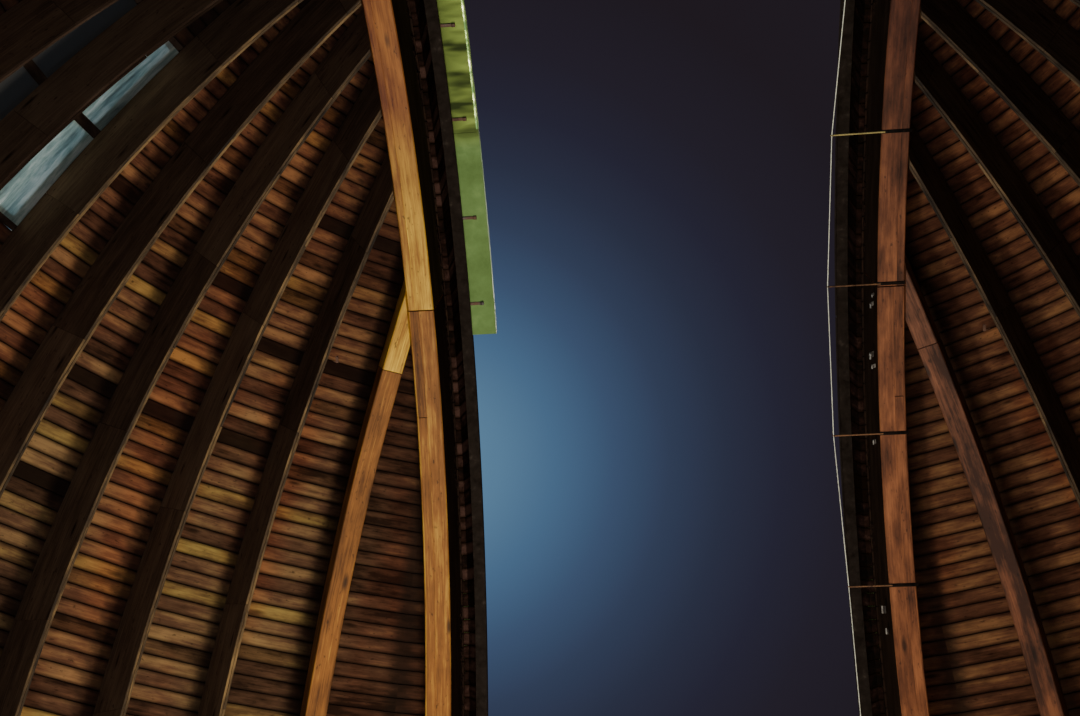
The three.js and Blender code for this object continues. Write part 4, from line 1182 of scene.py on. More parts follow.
def make_leaf(name, low, high, joints, bearers, stations):
    """Returns the lining, the iron parts and the zinc cover of a leaf, each as one mesh."""
    ends = [low, *joints, high]
    lining, ironwork, cover = [], [], []
    for i, (a, b) in enumerate(zip(ends, ends[1:])):
        # every second sheet is set 3.5 mm up and laps 14 mm behind its neighbours
        drop = 0.0 if i % 2 == 0 else 0.0035
        lining.append(arc_bar(name, bar(-LEAF_WIDE + 0.012, -0.006, LEAF_IN + drop, LEAF_IN + drop + 0.0015),
                              a, min(b + 0.19, high), 1.25))
        cover.append(arc_bar(name, bar(-LEAF_WIDE + 0.002, -0.002, 4.366, 4.3685), a, b, 1.25))
    for a in joints:
        cover.append(arc_bar(name, bar(-LEAF_WIDE + 0.004, -0.004, 4.367, 4.3815), a - 0.09, a + 0.09, 0.18))
    # rolled rim of the free edge, edge channel of the far edge and closed ends
    rim = [(-0.006, LEAF_IN), (0.0, LEAF_IN + 0.002), (0.0, 4.3685), (-0.003, 4.3685), (-0.003, LEAF_IN + 0.006),
           (-0.012, LEAF_IN + 0.004), (-0.012, LEAF_IN)]
    lining.append(arc_bar(name, rim, low, high, 1.25))
    cover.append(arc_bar(name, bar(-LEAF_WIDE, -LEAF_WIDE + 0.003, LEAF_IN, 4.3815), low, high, 1.25))
    cover.append(arc_bar(name, bar(-0.003, 0.0, 4.3685, 4.3815), low, high, 1.25))
    for a, b in ((low, low + 0.045), (high - 0.045, high)):
        cover.append(arc_bar(name, bar(-LEAF_WIDE + 0.004, -0.003, LEAF_IN + 0.001, 4.3815), a, b, 0.045))
    for a in bearers:
        bearer = block(name, (-LEAF_WIDE + 0.02, LEAF_IN - 0.006, -0.009), (-0.062, LEAF_IN + 0.001, 0.009), a,
                       eased=0.0015)
        ironwork.append(bearer)
        ironwork.append(block(name, (-0.080, LEAF_IN - 0.014, -0.010), (-0.060, LEAF_IN + 0.001, 0.010), a,
                              eased=0.002))
    for angle, places in stations:
        for x in places:
            hub = RAIL_TOP + 0.0005 + ROLLER_R
            turn = math.radians(angle)
            middle = Vector((x, hub * math.cos(turn), hub * math.sin(turn)))
            along = station(angle)
            wheel = rod(name, middle - along * 0.015, middle + along * 0.015, ROLLER_R, 28)
            ironwork.append(ease(wheel, 0.002))
            ironwork.append(ease(rod(name, middle - along * 0.026, middle + along * 0.026, 0.0045, 14), 0.001))
            for s in (-1, 1):
                ironwork.append(block(name, (x - 0.011, hub - 0.008, s * 0.019 - 0.002),
                                      (x + 0.011, LEAF_IN + 0.010, s * 0.019 + 0.002), angle, eased=0.001))
    cover = number_planks(join(name, cover), 0.3, len(bearers))
    grain_along_slit(cover, (0, 4.37))
    return join(name, lining), join(name, ironwork), cover


HALF = 0.4
upper = make_leaf("upper", 46.07, 104, [62.0, 78.0, 92.0], [48.6, 55.5, 63.3, 70.5, 77.2, 84.0, 91.0, 98.0],
                  [(46.4, [-1.195]), (103, [-1.195, -0.060])])
lower = make_leaf("lower", 3, 45.93, [17.0, 31.0], [6.5, 13.5, 20.5, 27.5, 34.5, 41.5],
                  [(3.8, [-1.195, -0.060]), (45.6, [-1.195])])
for kit, which, side, edge in ((upper, "upper", "left", -0.939), (upper, "upper", "right", 1.085),
                               (lower, "lower", "left", -1.085), (lower, "lower", "right", 1.085)):
    for part, kind, finish, slot in zip(kit, ("lining", "ironwork", "cover"), (leaf_paint, dark_iron, zinc),
                                        ("leaf_sheet", "iron", "zinc_skin")):
        piece = copy_of(part, f"leaf_{which}_{side}_{kind}", mirror=side == "right")
        shift(piece, (edge, 0, 0))
        dress(piece, finish, body=f"{which}_{side}_leaf")
        # painted highlight: above 6.77 m the free edge of the upper left leaf is painted green to near white; on the
        # other leaves the free edge is coated black
        highlit_leaf = (which, side) == ("upper", "left")
        piece.data.materials.append(rim_highlight if highlit_leaf else black_zinc)
        piece.data.materials.append(leaf_paint)
        for polygon in piece.data.polygons:
            highlight_part = polygon.center.z > 6.77 and edge - 0.0125 < polygon.center.x < edge - 0.0005
            if kind != "ironwork" and (highlight_part if highlit_leaf else abs(polygon.center.x - edge) < 0.0125):
                polygon.material_index = 1
            elif kind == "cover" and highlit_leaf and abs(polygon.center.x - edge) < 0.0035:
                polygon.material_index = 2
        if kind == "lining":
            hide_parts(f"leaf_{which}_{side}")
for kit in (upper, lower):
    for part in kit:
        bpy.data.objects.remove(part)

# %% [markdown]
# ## Wire beside the slit
# A thin wire runs up along the right of the slit, stretched over arms of round iron that are screwed to the
# beam with flat straps. The straps lie dark across the lit face of the beam, and the arms end in an eye.

# %% Arms and wire
arm_angles = [50.8 + 12.95 * i for i in range(-3, 4)]


def wire_x(angle):
    return 0.923 + min(0.000075 * (angle - 50.8) ** 2, 0.047)


WIRE_R = 3.5827
arms, straps = [], []
for angle in arm_angles:
    x = wire_x(angle)
    out = Vector(on_arc(1, angle))
    up = station(angle)
    tip = Vector((x, 0, 0)) + out * (WIRE_R - 0.001)
    arms.append(rod("arm", tip + Vector((0.006, 0, 0)), Vector((1.20, 0, 0)) + out * (WIRE_R + 0.0035), 0.0042, 12))
    clear_selection()
    bpy.ops.mesh.primitive_torus_add(major_radius=0.0062, minor_radius=0.0022, major_segments=20, minor_segments=8,
                                     location=CENTRE + tip, rotation=up.to_track_quat("Z", "Y").to_euler())
    eye = bpy.context.object
    bpy.ops.object.transform_apply()
    arms.append(eye)
    straps.append(block("strap", (BEAM_NEAR - 0.006, BEAM_IN - 0.0042, -0.009), (BEAM_FAR + 0.010, BEAM_IN - 0.0003, 0.009),
                      angle, eased=0.001))
    for sx in (BEAM_NEAR + 0.03, BEAM_FAR - 0.03):
        spot = Vector((sx, 0, 0)) + out * (BEAM_IN - 0.004)
        straps.append(ease(rod("screw", spot, spot - out * 0.0035, 0.0065, 12), 0.0015))
arms = join("wire_arms", arms)
dress(arms, brown_iron)
straps = join("wire_arm_straps", straps)
dress(straps, tarred_iron)
ends = [8, *arm_angles, 98]
spans = []
for a, b in zip(ends, ends[1:]):
    p, q = on_arc(WIRE_R - 0.001, a, wire_x(a)), on_arc(WIRE_R - 0.001, b, wire_x(b))
    spans.append(rod("wire", p, q, 0.0024, 10))
wire = join("slit_wire_strand", spans)
galvanised, shader = new_material("drawn_steel_wire_galvanised")
place = node(galvanised, "ShaderNodeTexCoord")
dull = node(galvanised, "ShaderNodeTexNoise", {"Vector": place.outputs["Object"], "Scale": 40.0, "Detail": 4.0})
shades = node(galvanised, "ShaderNodeValToRGB", {"Fac": dull.outputs["Fac"]})
set_stops(shades, [(0.3, "#b9bdae"), (0.7, "#e2e5d6")])
galvanised.node_tree.links.new(shades.outputs[0], shader.inputs["Base Color"])
shader.inputs["Metallic"].default_value = 0.2
shader.inputs["Roughness"].default_value = 0.5
dress(wire, galvanised)
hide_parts("slit_wire")

# %% [markdown]
# ## Window
# High in the left of the dome two bays are glazed. Old bars with a chamfer hold four panes, and the panes are so
# dusty that they glow with the colour of the sky instead of showing it. Rough transmission alone would look
# frosted all over, so dust in streaks and blotches changes both the colour and the roughness.

# %% Window bars
window_bars = []
bar_section = [(-0.0290, 4.186), (0.0290, 4.186), (0.0290, 4.193), (0.0200, 4.219), (-0.0200, 4.219), (-0.0290, 4.193)]
for bearing, trim in ((67.5, 0.42), (75.0, 0.0), (82.5, -0.42)):
    stile = arc_bar("stile", bar_section, 38.25, 54.75, 1.65)
    window_bars.append(copy_of(stile, "stile", bearing + trim))
    bpy.data.objects.remove(stile)
for rise in (38.60, 46.6, 54.40):
    turn = math.radians(rise)
    section = []
    for off, radius in bar_section:
        section.append((radius * math.cos(turn) - off * math.sin(turn), radius * math.sin(turn) + off * math.cos(turn)))
    window_bars.append(ring_bar("rail", section, 67.55, 82.45, 3.725))
for piece in window_bars:
    grain_straight(piece, 1)
window = number_planks(join("window_bars", window_bars), 0.2, 81)
dress(window, dark_wood)
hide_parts("window_frame")

# %% Panes
panes = []
for start in (67.55, 75.0):
    for low, high in ((38.65, 46.25), (46.95, 54.35)):
        step = (high - low) / 4
        section = [on_arc(4.1812, low + step * k)[1:] for k in range(5)]
        section += [on_arc(4.1848, high - step * k)[1:] for k in range(5)]
        panes.append(ring_bar("pane", section, start + 0.02, start + 7.43, 7.41))
panes = number_planks(join("window_panes", panes), 0.2, 82, [(0.0, 0), (0.12, 0), (0.93, 0), (0.95, 0)])
grain_round_dome(panes, (4.183, 0))
dusty, shader = new_material("drawn_glass_dusty")
# dust runs down the pane in streaks, each pane grows darker towards its far side, and the two panes farther
# from the slit are nearly blind
round_dome = node(dusty, "ShaderNodeAttribute", attribute_name="wood")
streak_place = node(dusty, "ShaderNodeMapping", {"Vector": round_dome.outputs["Vector"], "Scale": (17.0, 4.0, 1.0)})
streaks = node(dusty, "ShaderNodeTexNoise", {"Vector": streak_place.outputs[0], "Scale": 1.2, "Detail": 8.0,
                                             "Roughness": 0.72, "Distortion": 0.3})
shades = node(dusty, "ShaderNodeValToRGB", {"Fac": streaks.outputs["Fac"]})
set_stops(shades, [(0.34, "#586b66"), (0.47, "#a3bfb4"), (0.6, "#fafff4")])
pane = node(dusty, "ShaderNodeAttribute", attribute_name="plank")
chance = node(dusty, "ShaderNodeSeparateXYZ", {0: pane.outputs["Vector"]})
spot = node(dusty, "ShaderNodeSeparateXYZ", {0: round_dome.outputs["Vector"]})
ragged = node(dusty, "ShaderNodeMath", {0: streaks.outputs["Fac"], 1: 0.35, 2: spot.outputs[0]}, operation="MULTIPLY_ADD")
darker_far_side = node(dusty, "ShaderNodeMapRange", {0: ragged.outputs[0], 1: 5.36, 2: 5.56, 3: 0.0, 4: 1.0})
lost = node(dusty, "ShaderNodeMath", {0: darker_far_side.outputs[0], 1: chance.outputs[0]}, operation="MAXIMUM")
blind = node(dusty, "ShaderNodeMix", {0: lost.outputs[0], 6: shades.outputs[0], 7: linear("#1d1f20")},
             data_type="RGBA", blend_type="MIX")
dusty.node_tree.links.new(blind.outputs[2], shader.inputs["Base Color"])
gloss = node(dusty, "ShaderNodeMapRange", {0: streaks.outputs["Fac"], 1: 0.35, 2: 0.6, 3: 0.5, 4: 0.7})
dusty.node_tree.links.new(gloss.outputs[0], shader.inputs["Roughness"])
shader.inputs["Transmission Weight"].default_value = 0.88
shader.inputs["IOR"].default_value = 1.5
dress(panes, dusty, smooth=20)
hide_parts("window_glass")
print("window:", len(window.data.polygons), "faces of bars")

# %% [markdown]
# ## Zinc skin
# Outside, the boards are covered with zinc sheets as wide as a bay. Standing seams run up over every rib, each
# course laps over the one below, and the lowest edge hangs over the wall with a folded drip. A closed profile
# with a small step at each lap is spun through a quarter turn, the seams are arcs that stand on it, and then
# both are cut along the slit and round the window like the boards.

# %% A quarter of the skin
SKIN_IN, SKIN_OUT, SEAM = 4.2026, 4.2066, 4.2310
laps = [0, 12, 24.5, 38.2, 54.8, 68, 80.4]
outer, inner = [], []
for i, (a, b) in enumerate(zip(laps, laps[1:])):
    steps = max(1, round((b - a) / 2.4))
    for k in range(steps + 1):
        rise = a + (b - a) * k / steps
        # the foot of each course stands 2.5 mm proud of the course below
        proud = 0.0025 * (1 - k / steps)
        outer.append(on_arc(SKIN_OUT + proud, rise))
inner = [on_arc(SKIN_IN, 80.4 - 2.4 * k) for k in range(34)] + [(0, SKIN_IN, -SKIRT)]
profile = [(0, SKIN_OUT + 0.0025, -SKIRT), *outer, *inner]
skin_parts = [swing(outline("skin", profile), (0, 0, 1), 90, 12)]
seam_section = [(-0.004, SKIN_IN + 0.002), (0.004, SKIN_IN + 0.002), (0.004, SEAM - 0.008), (0.008, SEAM - 0.008),
                (0.008, SEAM), (-0.004, SEAM)]
for i in range(12):
    top = 80.4 if i % 2 == 0 else 78.5
    seam = arc_bar("seam", seam_section, 0, top, 2.4)
    skin_parts.append(copy_of(seam, "seam", i * 7.5))
    bpy.data.objects.remove(seam)
    upright = prism("seam", [(x, r, -SKIRT + 0.001) for x, r in seam_section], (0, 0, SKIRT - 0.001))
    skin_parts.append(copy_of(upright, "seam", i * 7.5))
    bpy.data.objects.remove(upright)
quarter = join("skin_quarter", skin_parts)


def weld(piece):
    """Makes one surface of the two parts of a quarter where they meet, and closes the edge along the slit again."""
    xs = [abs(vertex.co.x) for vertex in piece.data.vertices]
    caps = [all(abs(xs[v] - SLIT_HALF) < 0.00002 for v in polygon.vertices) for polygon in piece.data.polygons]
    edit(piece)
    bpy.ops.mesh.select_mode(type="FACE")
    bpy.ops.mesh.select_all(action="DESELECT")
    bpy.ops.object.mode_set(mode="OBJECT")
    piece.data.polygons.foreach_set("select", caps)
    bpy.ops.object.mode_set(mode="EDIT")
    bpy.ops.mesh.delete(type="FACE")
    bpy.ops.mesh.select_mode(type="VERT")
    bpy.ops.mesh.select_all(action="SELECT")
    bpy.ops.mesh.remove_doubles(threshold=0.00002)
    bpy.ops.mesh.fill_holes(sides=0)
    bpy.ops.mesh.select_all(action="SELECT")
    bpy.ops.mesh.normals_make_consistent(inside=False)
    bpy.ops.object.mode_set(mode="OBJECT")
    return sum(caps)


def face_outwards(piece):
    """Turns the shell over if its outer faces look inwards, which the recalculation can't tell on so thin a shell."""
    votes = []
    for polygon in piece.data.polygons:
        reach = polygon.center - CENTRE
        if polygon.area > 0.015 and reach.z > 0.3:
            outer = reach.length > 4.195
            votes.append((1 if (reach.dot(polygon.normal) > 0) == outer else -1, polygon.index))
    if sum(vote for vote, _ in votes) < 0:
        chosen = np.zeros(len(piece.data.polygons), dtype=bool)
        chosen[votes[0][1]] = True
        edit(piece)
        bpy.ops.mesh.select_mode(type="FACE")
        bpy.ops.mesh.select_all(action="DESELECT")
        bpy.ops.object.mode_set(mode="OBJECT")
        piece.data.polygons.foreach_set("select", chosen)
        bpy.ops.object.mode_set(mode="EDIT")
        bpy.ops.mesh.select_linked()
        bpy.ops.mesh.flip_normals()
        bpy.ops.mesh.select_mode(type="VERT")
        bpy.ops.object.mode_set(mode="OBJECT")


def number_sheets(piece, seed, middle):
    """Each sheet of a quarter gets its own chance numbers, and the runs on it follow the slope of the dome."""
    x, y, z = measure(piece).T
    bearing = (np.degrees(np.arctan2(-x, y)) - middle + 180) % 360 - 180
    rise = np.arctan2(z, np.hypot(x, y))
    store(piece, "wood", "POINT", np.stack([rise * SKIN_OUT, np.radians(bearing) * SKIN_OUT, np.hypot(x, y)], axis=1))
    chance = np.random.default_rng(seed).random((50, 8, 2))
    rows = []
    for polygon in piece.data.polygons:
        x, y, z = polygon.center - CENTRE
        sector = int(math.degrees(math.atan2(-x, y)) % 360 // 7.5)
        course = int(np.searchsorted(laps, math.degrees(math.atan2(z, math.hypot(x, y)))))
        rows.append((*chance[sector, course], 0.3))
    store(piece, "plank", "FACE", rows)


def delete_window(piece):
    """Opens the window's two bays in a quarter of boards or skin."""
    doomed = []
    for polygon in piece.data.polygons:
        x, y, z = polygon.center - CENTRE
        side, rise = math.degrees(math.atan2(-x, y)), math.degrees(math.atan2(z, math.hypot(x, y)))
        doomed.append(67.6 < side < 82.4 and 38.2 < rise < 54.8)
    edit(piece)
    bpy.ops.mesh.select_all(action="DESELECT")
    bpy.ops.object.mode_set(mode="OBJECT")
    piece.data.polygons.foreach_set("select", doomed)
    bpy.ops.object.mode_set(mode="EDIT")
    bpy.ops.mesh.select_mode(type="FACE")
    bpy.ops.mesh.delete(type="FACE")
    bpy.ops.mesh.select_mode(type="VERT")
    bpy.ops.object.mode_set(mode="OBJECT")


for name, behind, mirror in (("front_left", False, False), ("rear_left", True, False), ("rear_right", True, True),
                             ("front_right", False, True)):
    beside = cut(copy_of(quarter, name, 90 if behind else 0), (-SLIT_HALF, 0, 0), (1, 0, 0))
    across_slit = cut(copy_of(quarter, name, 90 if behind else 0), (-SLIT_HALF, 0, 0), (-1, 0, 0))
    if behind:
        cut(across_slit, station(100) * 0.0403, -station(100))
    else:
        cut(across_slit, station(6) * -0.0403, station(6))
    parts = [beside, across_slit]
    if name == "rear_left":
        # the seam on the dome's middle line, opposite the slit, belongs to this quarter alone
        for seam in (arc_bar("seam", seam_section, 0, 78.5, 2.4),
                     prism("seam", [(x, r, -SKIRT + 0.001) for x, r in seam_section], (0, 0, SKIRT - 0.001))):
            parts.append(copy_of(seam, "seam", 180))
            bpy.data.objects.remove(seam)
    skin = join(f"zinc_{name}", parts)
    print("caps taken out and closed again:", weld(skin))
    if name == "front_left":
        delete_window(skin)
    if mirror:
        other = copy_of(skin, f"zinc_{name}", mirror=True)
        bpy.data.objects.remove(skin)
        skin = other
        skin.name = f"zinc_{name}"
    face_outwards(skin)
    number_sheets(skin, 101 + behind + 2 * mirror, (135 if behind else 45) * (-1 if mirror else 1))
    dress(skin, zinc, smooth=12)
    # bitumen on the inner side and on the edge along the slit
    skin.data.materials.append(black_zinc)
    for polygon in skin.data.polygons:
        if (polygon.center - CENTRE).dot(polygon.normal) < -1 or abs(abs(polygon.center.x) - SLIT_HALF) < 0.001:
            polygon.material_index = 1
    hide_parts(f"skin_{name}")
    coated = sum(polygon.material_index for polygon in skin.data.polygons)
    print(skin.name, len(skin.data.polygons), "faces, coated inside:", coated)
bpy.data.objects.remove(quarter)

# %% Drip band and window flashing
drip = ring_bar("drip", [(4.2095, -SKIRT + 0.045), (4.2095, -SKIRT), (4.2385, -SKIRT), (4.2405, -SKIRT + 0.003),
                         (4.2385, -SKIRT + 0.010), (4.2160, -SKIRT + 0.045)], 0, 359.9, 3.75)
grain_round_dome(drip, (4.22, -0.41))
number_planks(drip, 0.2, 103)
dress(drip, zinc)
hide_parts("drip_band")
flashing = []
for bearing in (67.2, 82.8):
    side = arc_bar("flashing", bar(-0.022, 0.022, 4.206, 4.226), 37.9, 55.1, 1.65)
    flashing.append(copy_of(side, "flashing", bearing))
    bpy.data.objects.remove(side)
for rise in (37.9, 55.1):
    turn = math.radians(rise)
    section = [(r * math.cos(turn) - o * math.sin(turn), r * math.sin(turn) + o * math.cos(turn))
               for o, r in bar(-0.022, 0.022, 4.206, 4.226)]
    flashing.append(ring_bar("flashing", section, 66.9, 83.1, 2.7))
flashing = number_planks(join("window_flashing", flashing), 0.2, 104)
grain_along_slit(flashing, (0, 4.2))
dress(flashing, zinc)

# %% [markdown]
# ## Rails
# The leaves roll on iron rails that cross the dome below, beside and behind the slit. A rail is a rolled beam
# with two flanges, and its posts stand through the skin on square feet with four screws each.

# %% Rails and posts
RAIL_LOW = RAIL_TOP - 0.060


def make_rail(name, x0, x1, posts, angle):
    """An I-beam across the dome with its posts."""
    half, flange, web = 0.055, 0.008, 0.005
    section = [(-half, RAIL_LOW), (half, RAIL_LOW), (half, RAIL_LOW + flange), (web, RAIL_LOW + flange + 0.004),
               (web, RAIL_TOP - flange - 0.004), (half, RAIL_TOP - flange), (half, RAIL_TOP), (-half, RAIL_TOP),
               (-half, RAIL_TOP - flange), (-web, RAIL_TOP - flange - 0.004), (-web, RAIL_LOW + flange + 0.004),
               (-half, RAIL_LOW + flange)]
    out, up = Vector(on_arc(1, angle)), station(angle)
    parts = [prism(name, [Vector((x0, 0, 0)) + out * r + up * o for o, r in section], (x1 - x0, 0, 0))]
    for x in posts:
        ground_r = math.sqrt(4.205 ** 2 - x * x)
        parts.append(block(name, (x - 0.020, ground_r - 0.03, -0.020), (x + 0.020, RAIL_LOW + 0.002, 0.020), angle,
                           eased=0.004))
        normal = (out * ground_r + Vector((x, 0, 0))).normalized()
        spot = normal * 4.2095
        side = normal.cross(up).normalized()
        plate = rod(name, spot - normal * 0.006, spot + normal * 0.002, 0.072, 4)
        parts.append(ease(plate, 0.002))
        for a, b in ((-1, -1), (-1, 1), (1, -1), (1, 1)):
            parts += bolt(name, spot + side * 0.034 * a + up * 0.034 * b + normal * 0.002, normal, 0.008, 0.006, 0.012)
        parts += bolt(name, Vector((x, 0, 0)) + out * (RAIL_LOW + flange) + up * 0.030, out, 0.009, 0.007, 0.013)
    return join(name, parts)


both = [-2.37, -1.80, -1.26, 1.26, 1.80, 2.37]
for name, x0, x1, posts, angle in (("rail_below_slit", -2.42, 2.42, both, 3.8), ("rail_behind_slit", -2.42, 2.42, both, 103),
                                   ("rail_beside_slit_left", -2.42, -1.1757, both[:3], 46),
                                   ("rail_beside_slit_right", 1.1757, 2.42, both[3:], 46)):
    rail = make_rail(f"iron_{name}", x0, x1, posts, angle)
    dress(rail, dark_iron)
    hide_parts(name)

# %% [markdown]
# ## Foot ring, track and wheels
# At its foot the dome is a ring of plank lengths, bolted in layers with their joints apart. A flat steel track is
# screwed under it and runs on twelve wheels. One wheel is turned from its profile, with its fork, axle and nuts,
# and copied round the wall plate.

# %% Foot ring, wall plate and track
ring = []
for layer in range(3):
    low, high = -0.160 + layer * 0.0533, -0.160 + (layer + 1) * 0.0533
    for k in range(24):
        a = k * 15 + (layer % 2) * 7.5
        ring.append(ring_bar("felloe", [(3.790, low + 0.0004), (4.168, low + 0.0004), (4.168, high), (3.793, high),
                                        (3.790, high - 0.003)], a + 0.02, a + 14.98, 3.74))
ring = join("foot_ring_felloes", ring)
grain_round_dome(ring, (3.98, -0.08))
number_planks(ring, 0.19, 91)
dress(ring, beam_wood_red, smooth=20)
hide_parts("foot_ring")
plate = []
for k in range(24):
    a = k * 15 + 3.75
    plate.append(ring_bar("plate", [(3.812, -0.3997), (4.058, -0.3997), (4.058, -0.333), (4.055, -0.330),
                                    (3.815, -0.330), (3.812, -0.333)], a + 0.02, a + 14.98, 2.5))
plate = join("wall_plate_timbers", plate)
grain_round_dome(plate, (3.935, -0.365))
number_planks(plate, 0.12, 92)
dress(plate, beam_wood_red, body="base", smooth=20)
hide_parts("wall_plate")
track = ring_bar("track_flat", [(3.875, -0.1800), (3.877, -0.1803), (3.963, -0.1803), (3.965, -0.1800),
                                (3.965, -0.1605), (3.875, -0.1605)], 0, 359.95, 2.5)
dress(track, worn_steel, smooth=20)
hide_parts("track")

# %% Wheels
WHEEL_Z = -0.2408
bed_parts = [ring_bar("bed", [(3.840, -0.3297), (4.000, -0.3297), (4.000, -0.3212), (3.9985, -0.3197),
                              (3.8415, -0.3197), (3.840, -0.3212)], 0, 359.95, 2.5)]
tread = [(-0.024, 0.018), (-0.024, 0.058), (-0.022, 0.0598), (0.022, 0.0598), (0.024, 0.058), (0.024, 0.018),
         (0.010, 0.018), (0.010, 0.046), (-0.010, 0.046), (-0.010, 0.018)]
hub_place = Vector((0, 3.92, WHEEL_Z))
wheel = outline("wheel", [hub_place + Vector((0, t, r)) for t, r in tread])
edit(wheel)
bpy.ops.mesh.delete(type="ONLY_FACE")
bpy.ops.mesh.select_all(action="SELECT")
bpy.ops.mesh.spin(steps=40, angle=2 * math.pi, center=CENTRE + hub_place, axis=(0, 1, 0))
bpy.ops.mesh.select_all(action="SELECT")
bpy.ops.mesh.remove_doubles(threshold=0.0001)
bpy.ops.mesh.normals_make_consistent(inside=False)
bpy.ops.object.mode_set(mode="OBJECT")
kit = [wheel, ease(rod("hub", hub_place - Vector((0, 0.026, 0)), hub_place + Vector((0, 0.026, 0)), 0.024, 24), 0.002),
       ease(rod("disc", hub_place - Vector((0, 0.006, 0)), hub_place + Vector((0, 0.006, 0)), 0.047, 32), 0.001),
       ease(rod("axle", hub_place - Vector((0, 0.0355, 0)), hub_place + Vector((0, 0.0355, 0)), 0.012, 16), 0.0015)]
for s in (-1, 1):
    cheek = block("cheek", (-0.035, 3.92 + s * 0.030 - 0.0045, -0.3205), (0.035, 3.92 + s * 0.030 + 0.0045, WHEEL_Z + 0.018),
                  eased=0.003)
    kit.append(cheek)
    kit.append(block("foot", (-0.035, 3.92 + s * 0.052 - 0.022, -0.3200), (0.035, 3.92 + s * 0.052 + 0.022, -0.3140),
                     eased=0.002))
    kit += bolt("nut", hub_place + Vector((0, s * 0.0345, 0)), (0, s, 0), 0.013, 0.006, 0.016)
    for x in (-0.020, 0.020):
        kit += bolt("bolt", (x, 3.92 + s * 0.056, -0.3140), (0, 0, 1), 0.0075, 0.006, 0.011)
wheel = join("wheel", kit)
for k in range(12):
    bed_parts.append(copy_of(wheel, "wheel", 15 + 30 * k + 270))
bpy.data.objects.remove(wheel)
bed = join("wheel_bed_turned", bed_parts)
dress(bed, dark_iron, body="base")
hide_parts("wheel_bed")
print("wheel bed:", len(bed.data.polygons), "faces")

# %% [markdown]
# ## Base wall, floor and door
# The wall is brick under lime render, brushed with whitewash: small trowel waves, grey runs under the drip,
# and damp rising from the ground. The floor is float-finished concrete. The door is made of boards on ledges,
# hung on strap hinges and painted dark green.

# %% Render, concrete and paint
plaster, shader = new_material("lime_render_whitewashed")
place = node(plaster, "ShaderNodeTexCoord")
trowel = node(plaster, "ShaderNodeTexNoise", {"Vector": place.outputs["Object"], "Scale": 4.5, "Detail": 9.0,
                                              "Roughness": 0.6})
sand = node(plaster, "ShaderNodeTexNoise", {"Vector": place.outputs["Object"], "Scale": 220.0, "Detail": 2.0})
run_place = node(plaster, "ShaderNodeMapping", {"Vector": place.outputs["Object"], "Scale": (3.2, 3.2, 0.35)})
runs = node(plaster, "ShaderNodeTexNoise", {"Vector": run_place.outputs[0], "Scale": 2.0, "Detail": 7.0,
                                            "Roughness": 0.65})
shades = node(plaster, "ShaderNodeValToRGB", {"Fac": trowel.outputs["Fac"]})
set_stops(shades, [(0.3, "#b9b09c"), (0.5, "#cbc4b3"), (0.72, "#d8d3c5")])
streak = node(plaster, "ShaderNodeMapRange", {0: runs.outputs["Fac"], 1: 0.5, 2: 0.72, 3: 0.0, 4: 0.5})
heights = node(plaster, "ShaderNodeSeparateXYZ", {0: place.outputs["Object"]})
under_drip = node(plaster, "ShaderNodeMapRange", {0: heights.outputs["Z"], 1: 0.9, 2: 2.5, 3: 0.15, 4: 1.0})
dirty = node(plaster, "ShaderNodeMath", {0: streak.outputs[0], 1: under_drip.outputs[0]}, operation="MULTIPLY")
weathered = node(plaster, "ShaderNodeMix", {0: dirty.outputs[0], 6: shades.outputs[0], 7: linear("#84806f")},
                 data_type="RGBA", blend_type="MIX")
damp_edge = node(plaster, "ShaderNodeMath", {0: trowel.outputs["Fac"], 1: 0.7, 2: heights.outputs["Z"]},
                 operation="MULTIPLY_ADD")
damp = node(plaster, "ShaderNodeMapRange", {0: damp_edge.outputs[0], 1: 0.45, 2: 0.85, 3: 0.6, 4: 0.0})
wet = node(plaster, "ShaderNodeMix", {0: damp.outputs[0], 6: weathered.outputs[2], 7: linear("#7d7666")},
           data_type="RGBA", blend_type="MIX")
plaster.node_tree.links.new(wet.outputs[2], shader.inputs["Base Color"])
shader.inputs["Roughness"].default_value = 0.92
relief = node(plaster, "ShaderNodeMath", {0: sand.outputs["Fac"], 1: 0.10, 2: trowel.outputs["Fac"]},
              operation="MULTIPLY_ADD")
coat = node(plaster, "ShaderNodeBump", {"Height": relief.outputs[0], "Strength": 0.5, "Distance": 0.012})
plaster.node_tree.links.new(coat.outputs[0], shader.inputs["Normal"])

concrete, shader = new_material("concrete_float_finished")
place = node(concrete, "ShaderNodeTexCoord")
cloud = node(concrete, "ShaderNodeTexNoise", {"Vector": place.outputs["Object"], "Scale": 2.2, "Detail": 9.0,
                                              "Roughness": 0.6})
grit = node(concrete, "ShaderNodeTexNoise", {"Vector": place.outputs["Object"], "Scale": 180.0, "Detail": 2.0})
shades = node(concrete, "ShaderNodeValToRGB", {"Fac": cloud.outputs["Fac"]})
set_stops(shades, [(0.3, "#6f6c66"), (0.55, "#8b8881"), (0.75, "#9c9890")])
concrete.node_tree.links.new(shades.outputs[0], shader.inputs["Base Color"])
gloss = node(concrete, "ShaderNodeMapRange", {0: cloud.outputs["Fac"], 1: 0.3, 2: 0.7, 3: 0.6, 4: 0.9})
concrete.node_tree.links.new(gloss.outputs[0], shader.inputs["Roughness"])
pores = node(concrete, "ShaderNodeBump", {"Height": grit.outputs["Fac"], "Strength": 0.35, "Distance": 0.0015})
concrete.node_tree.links.new(pores.outputs[0], shader.inputs["Normal"])

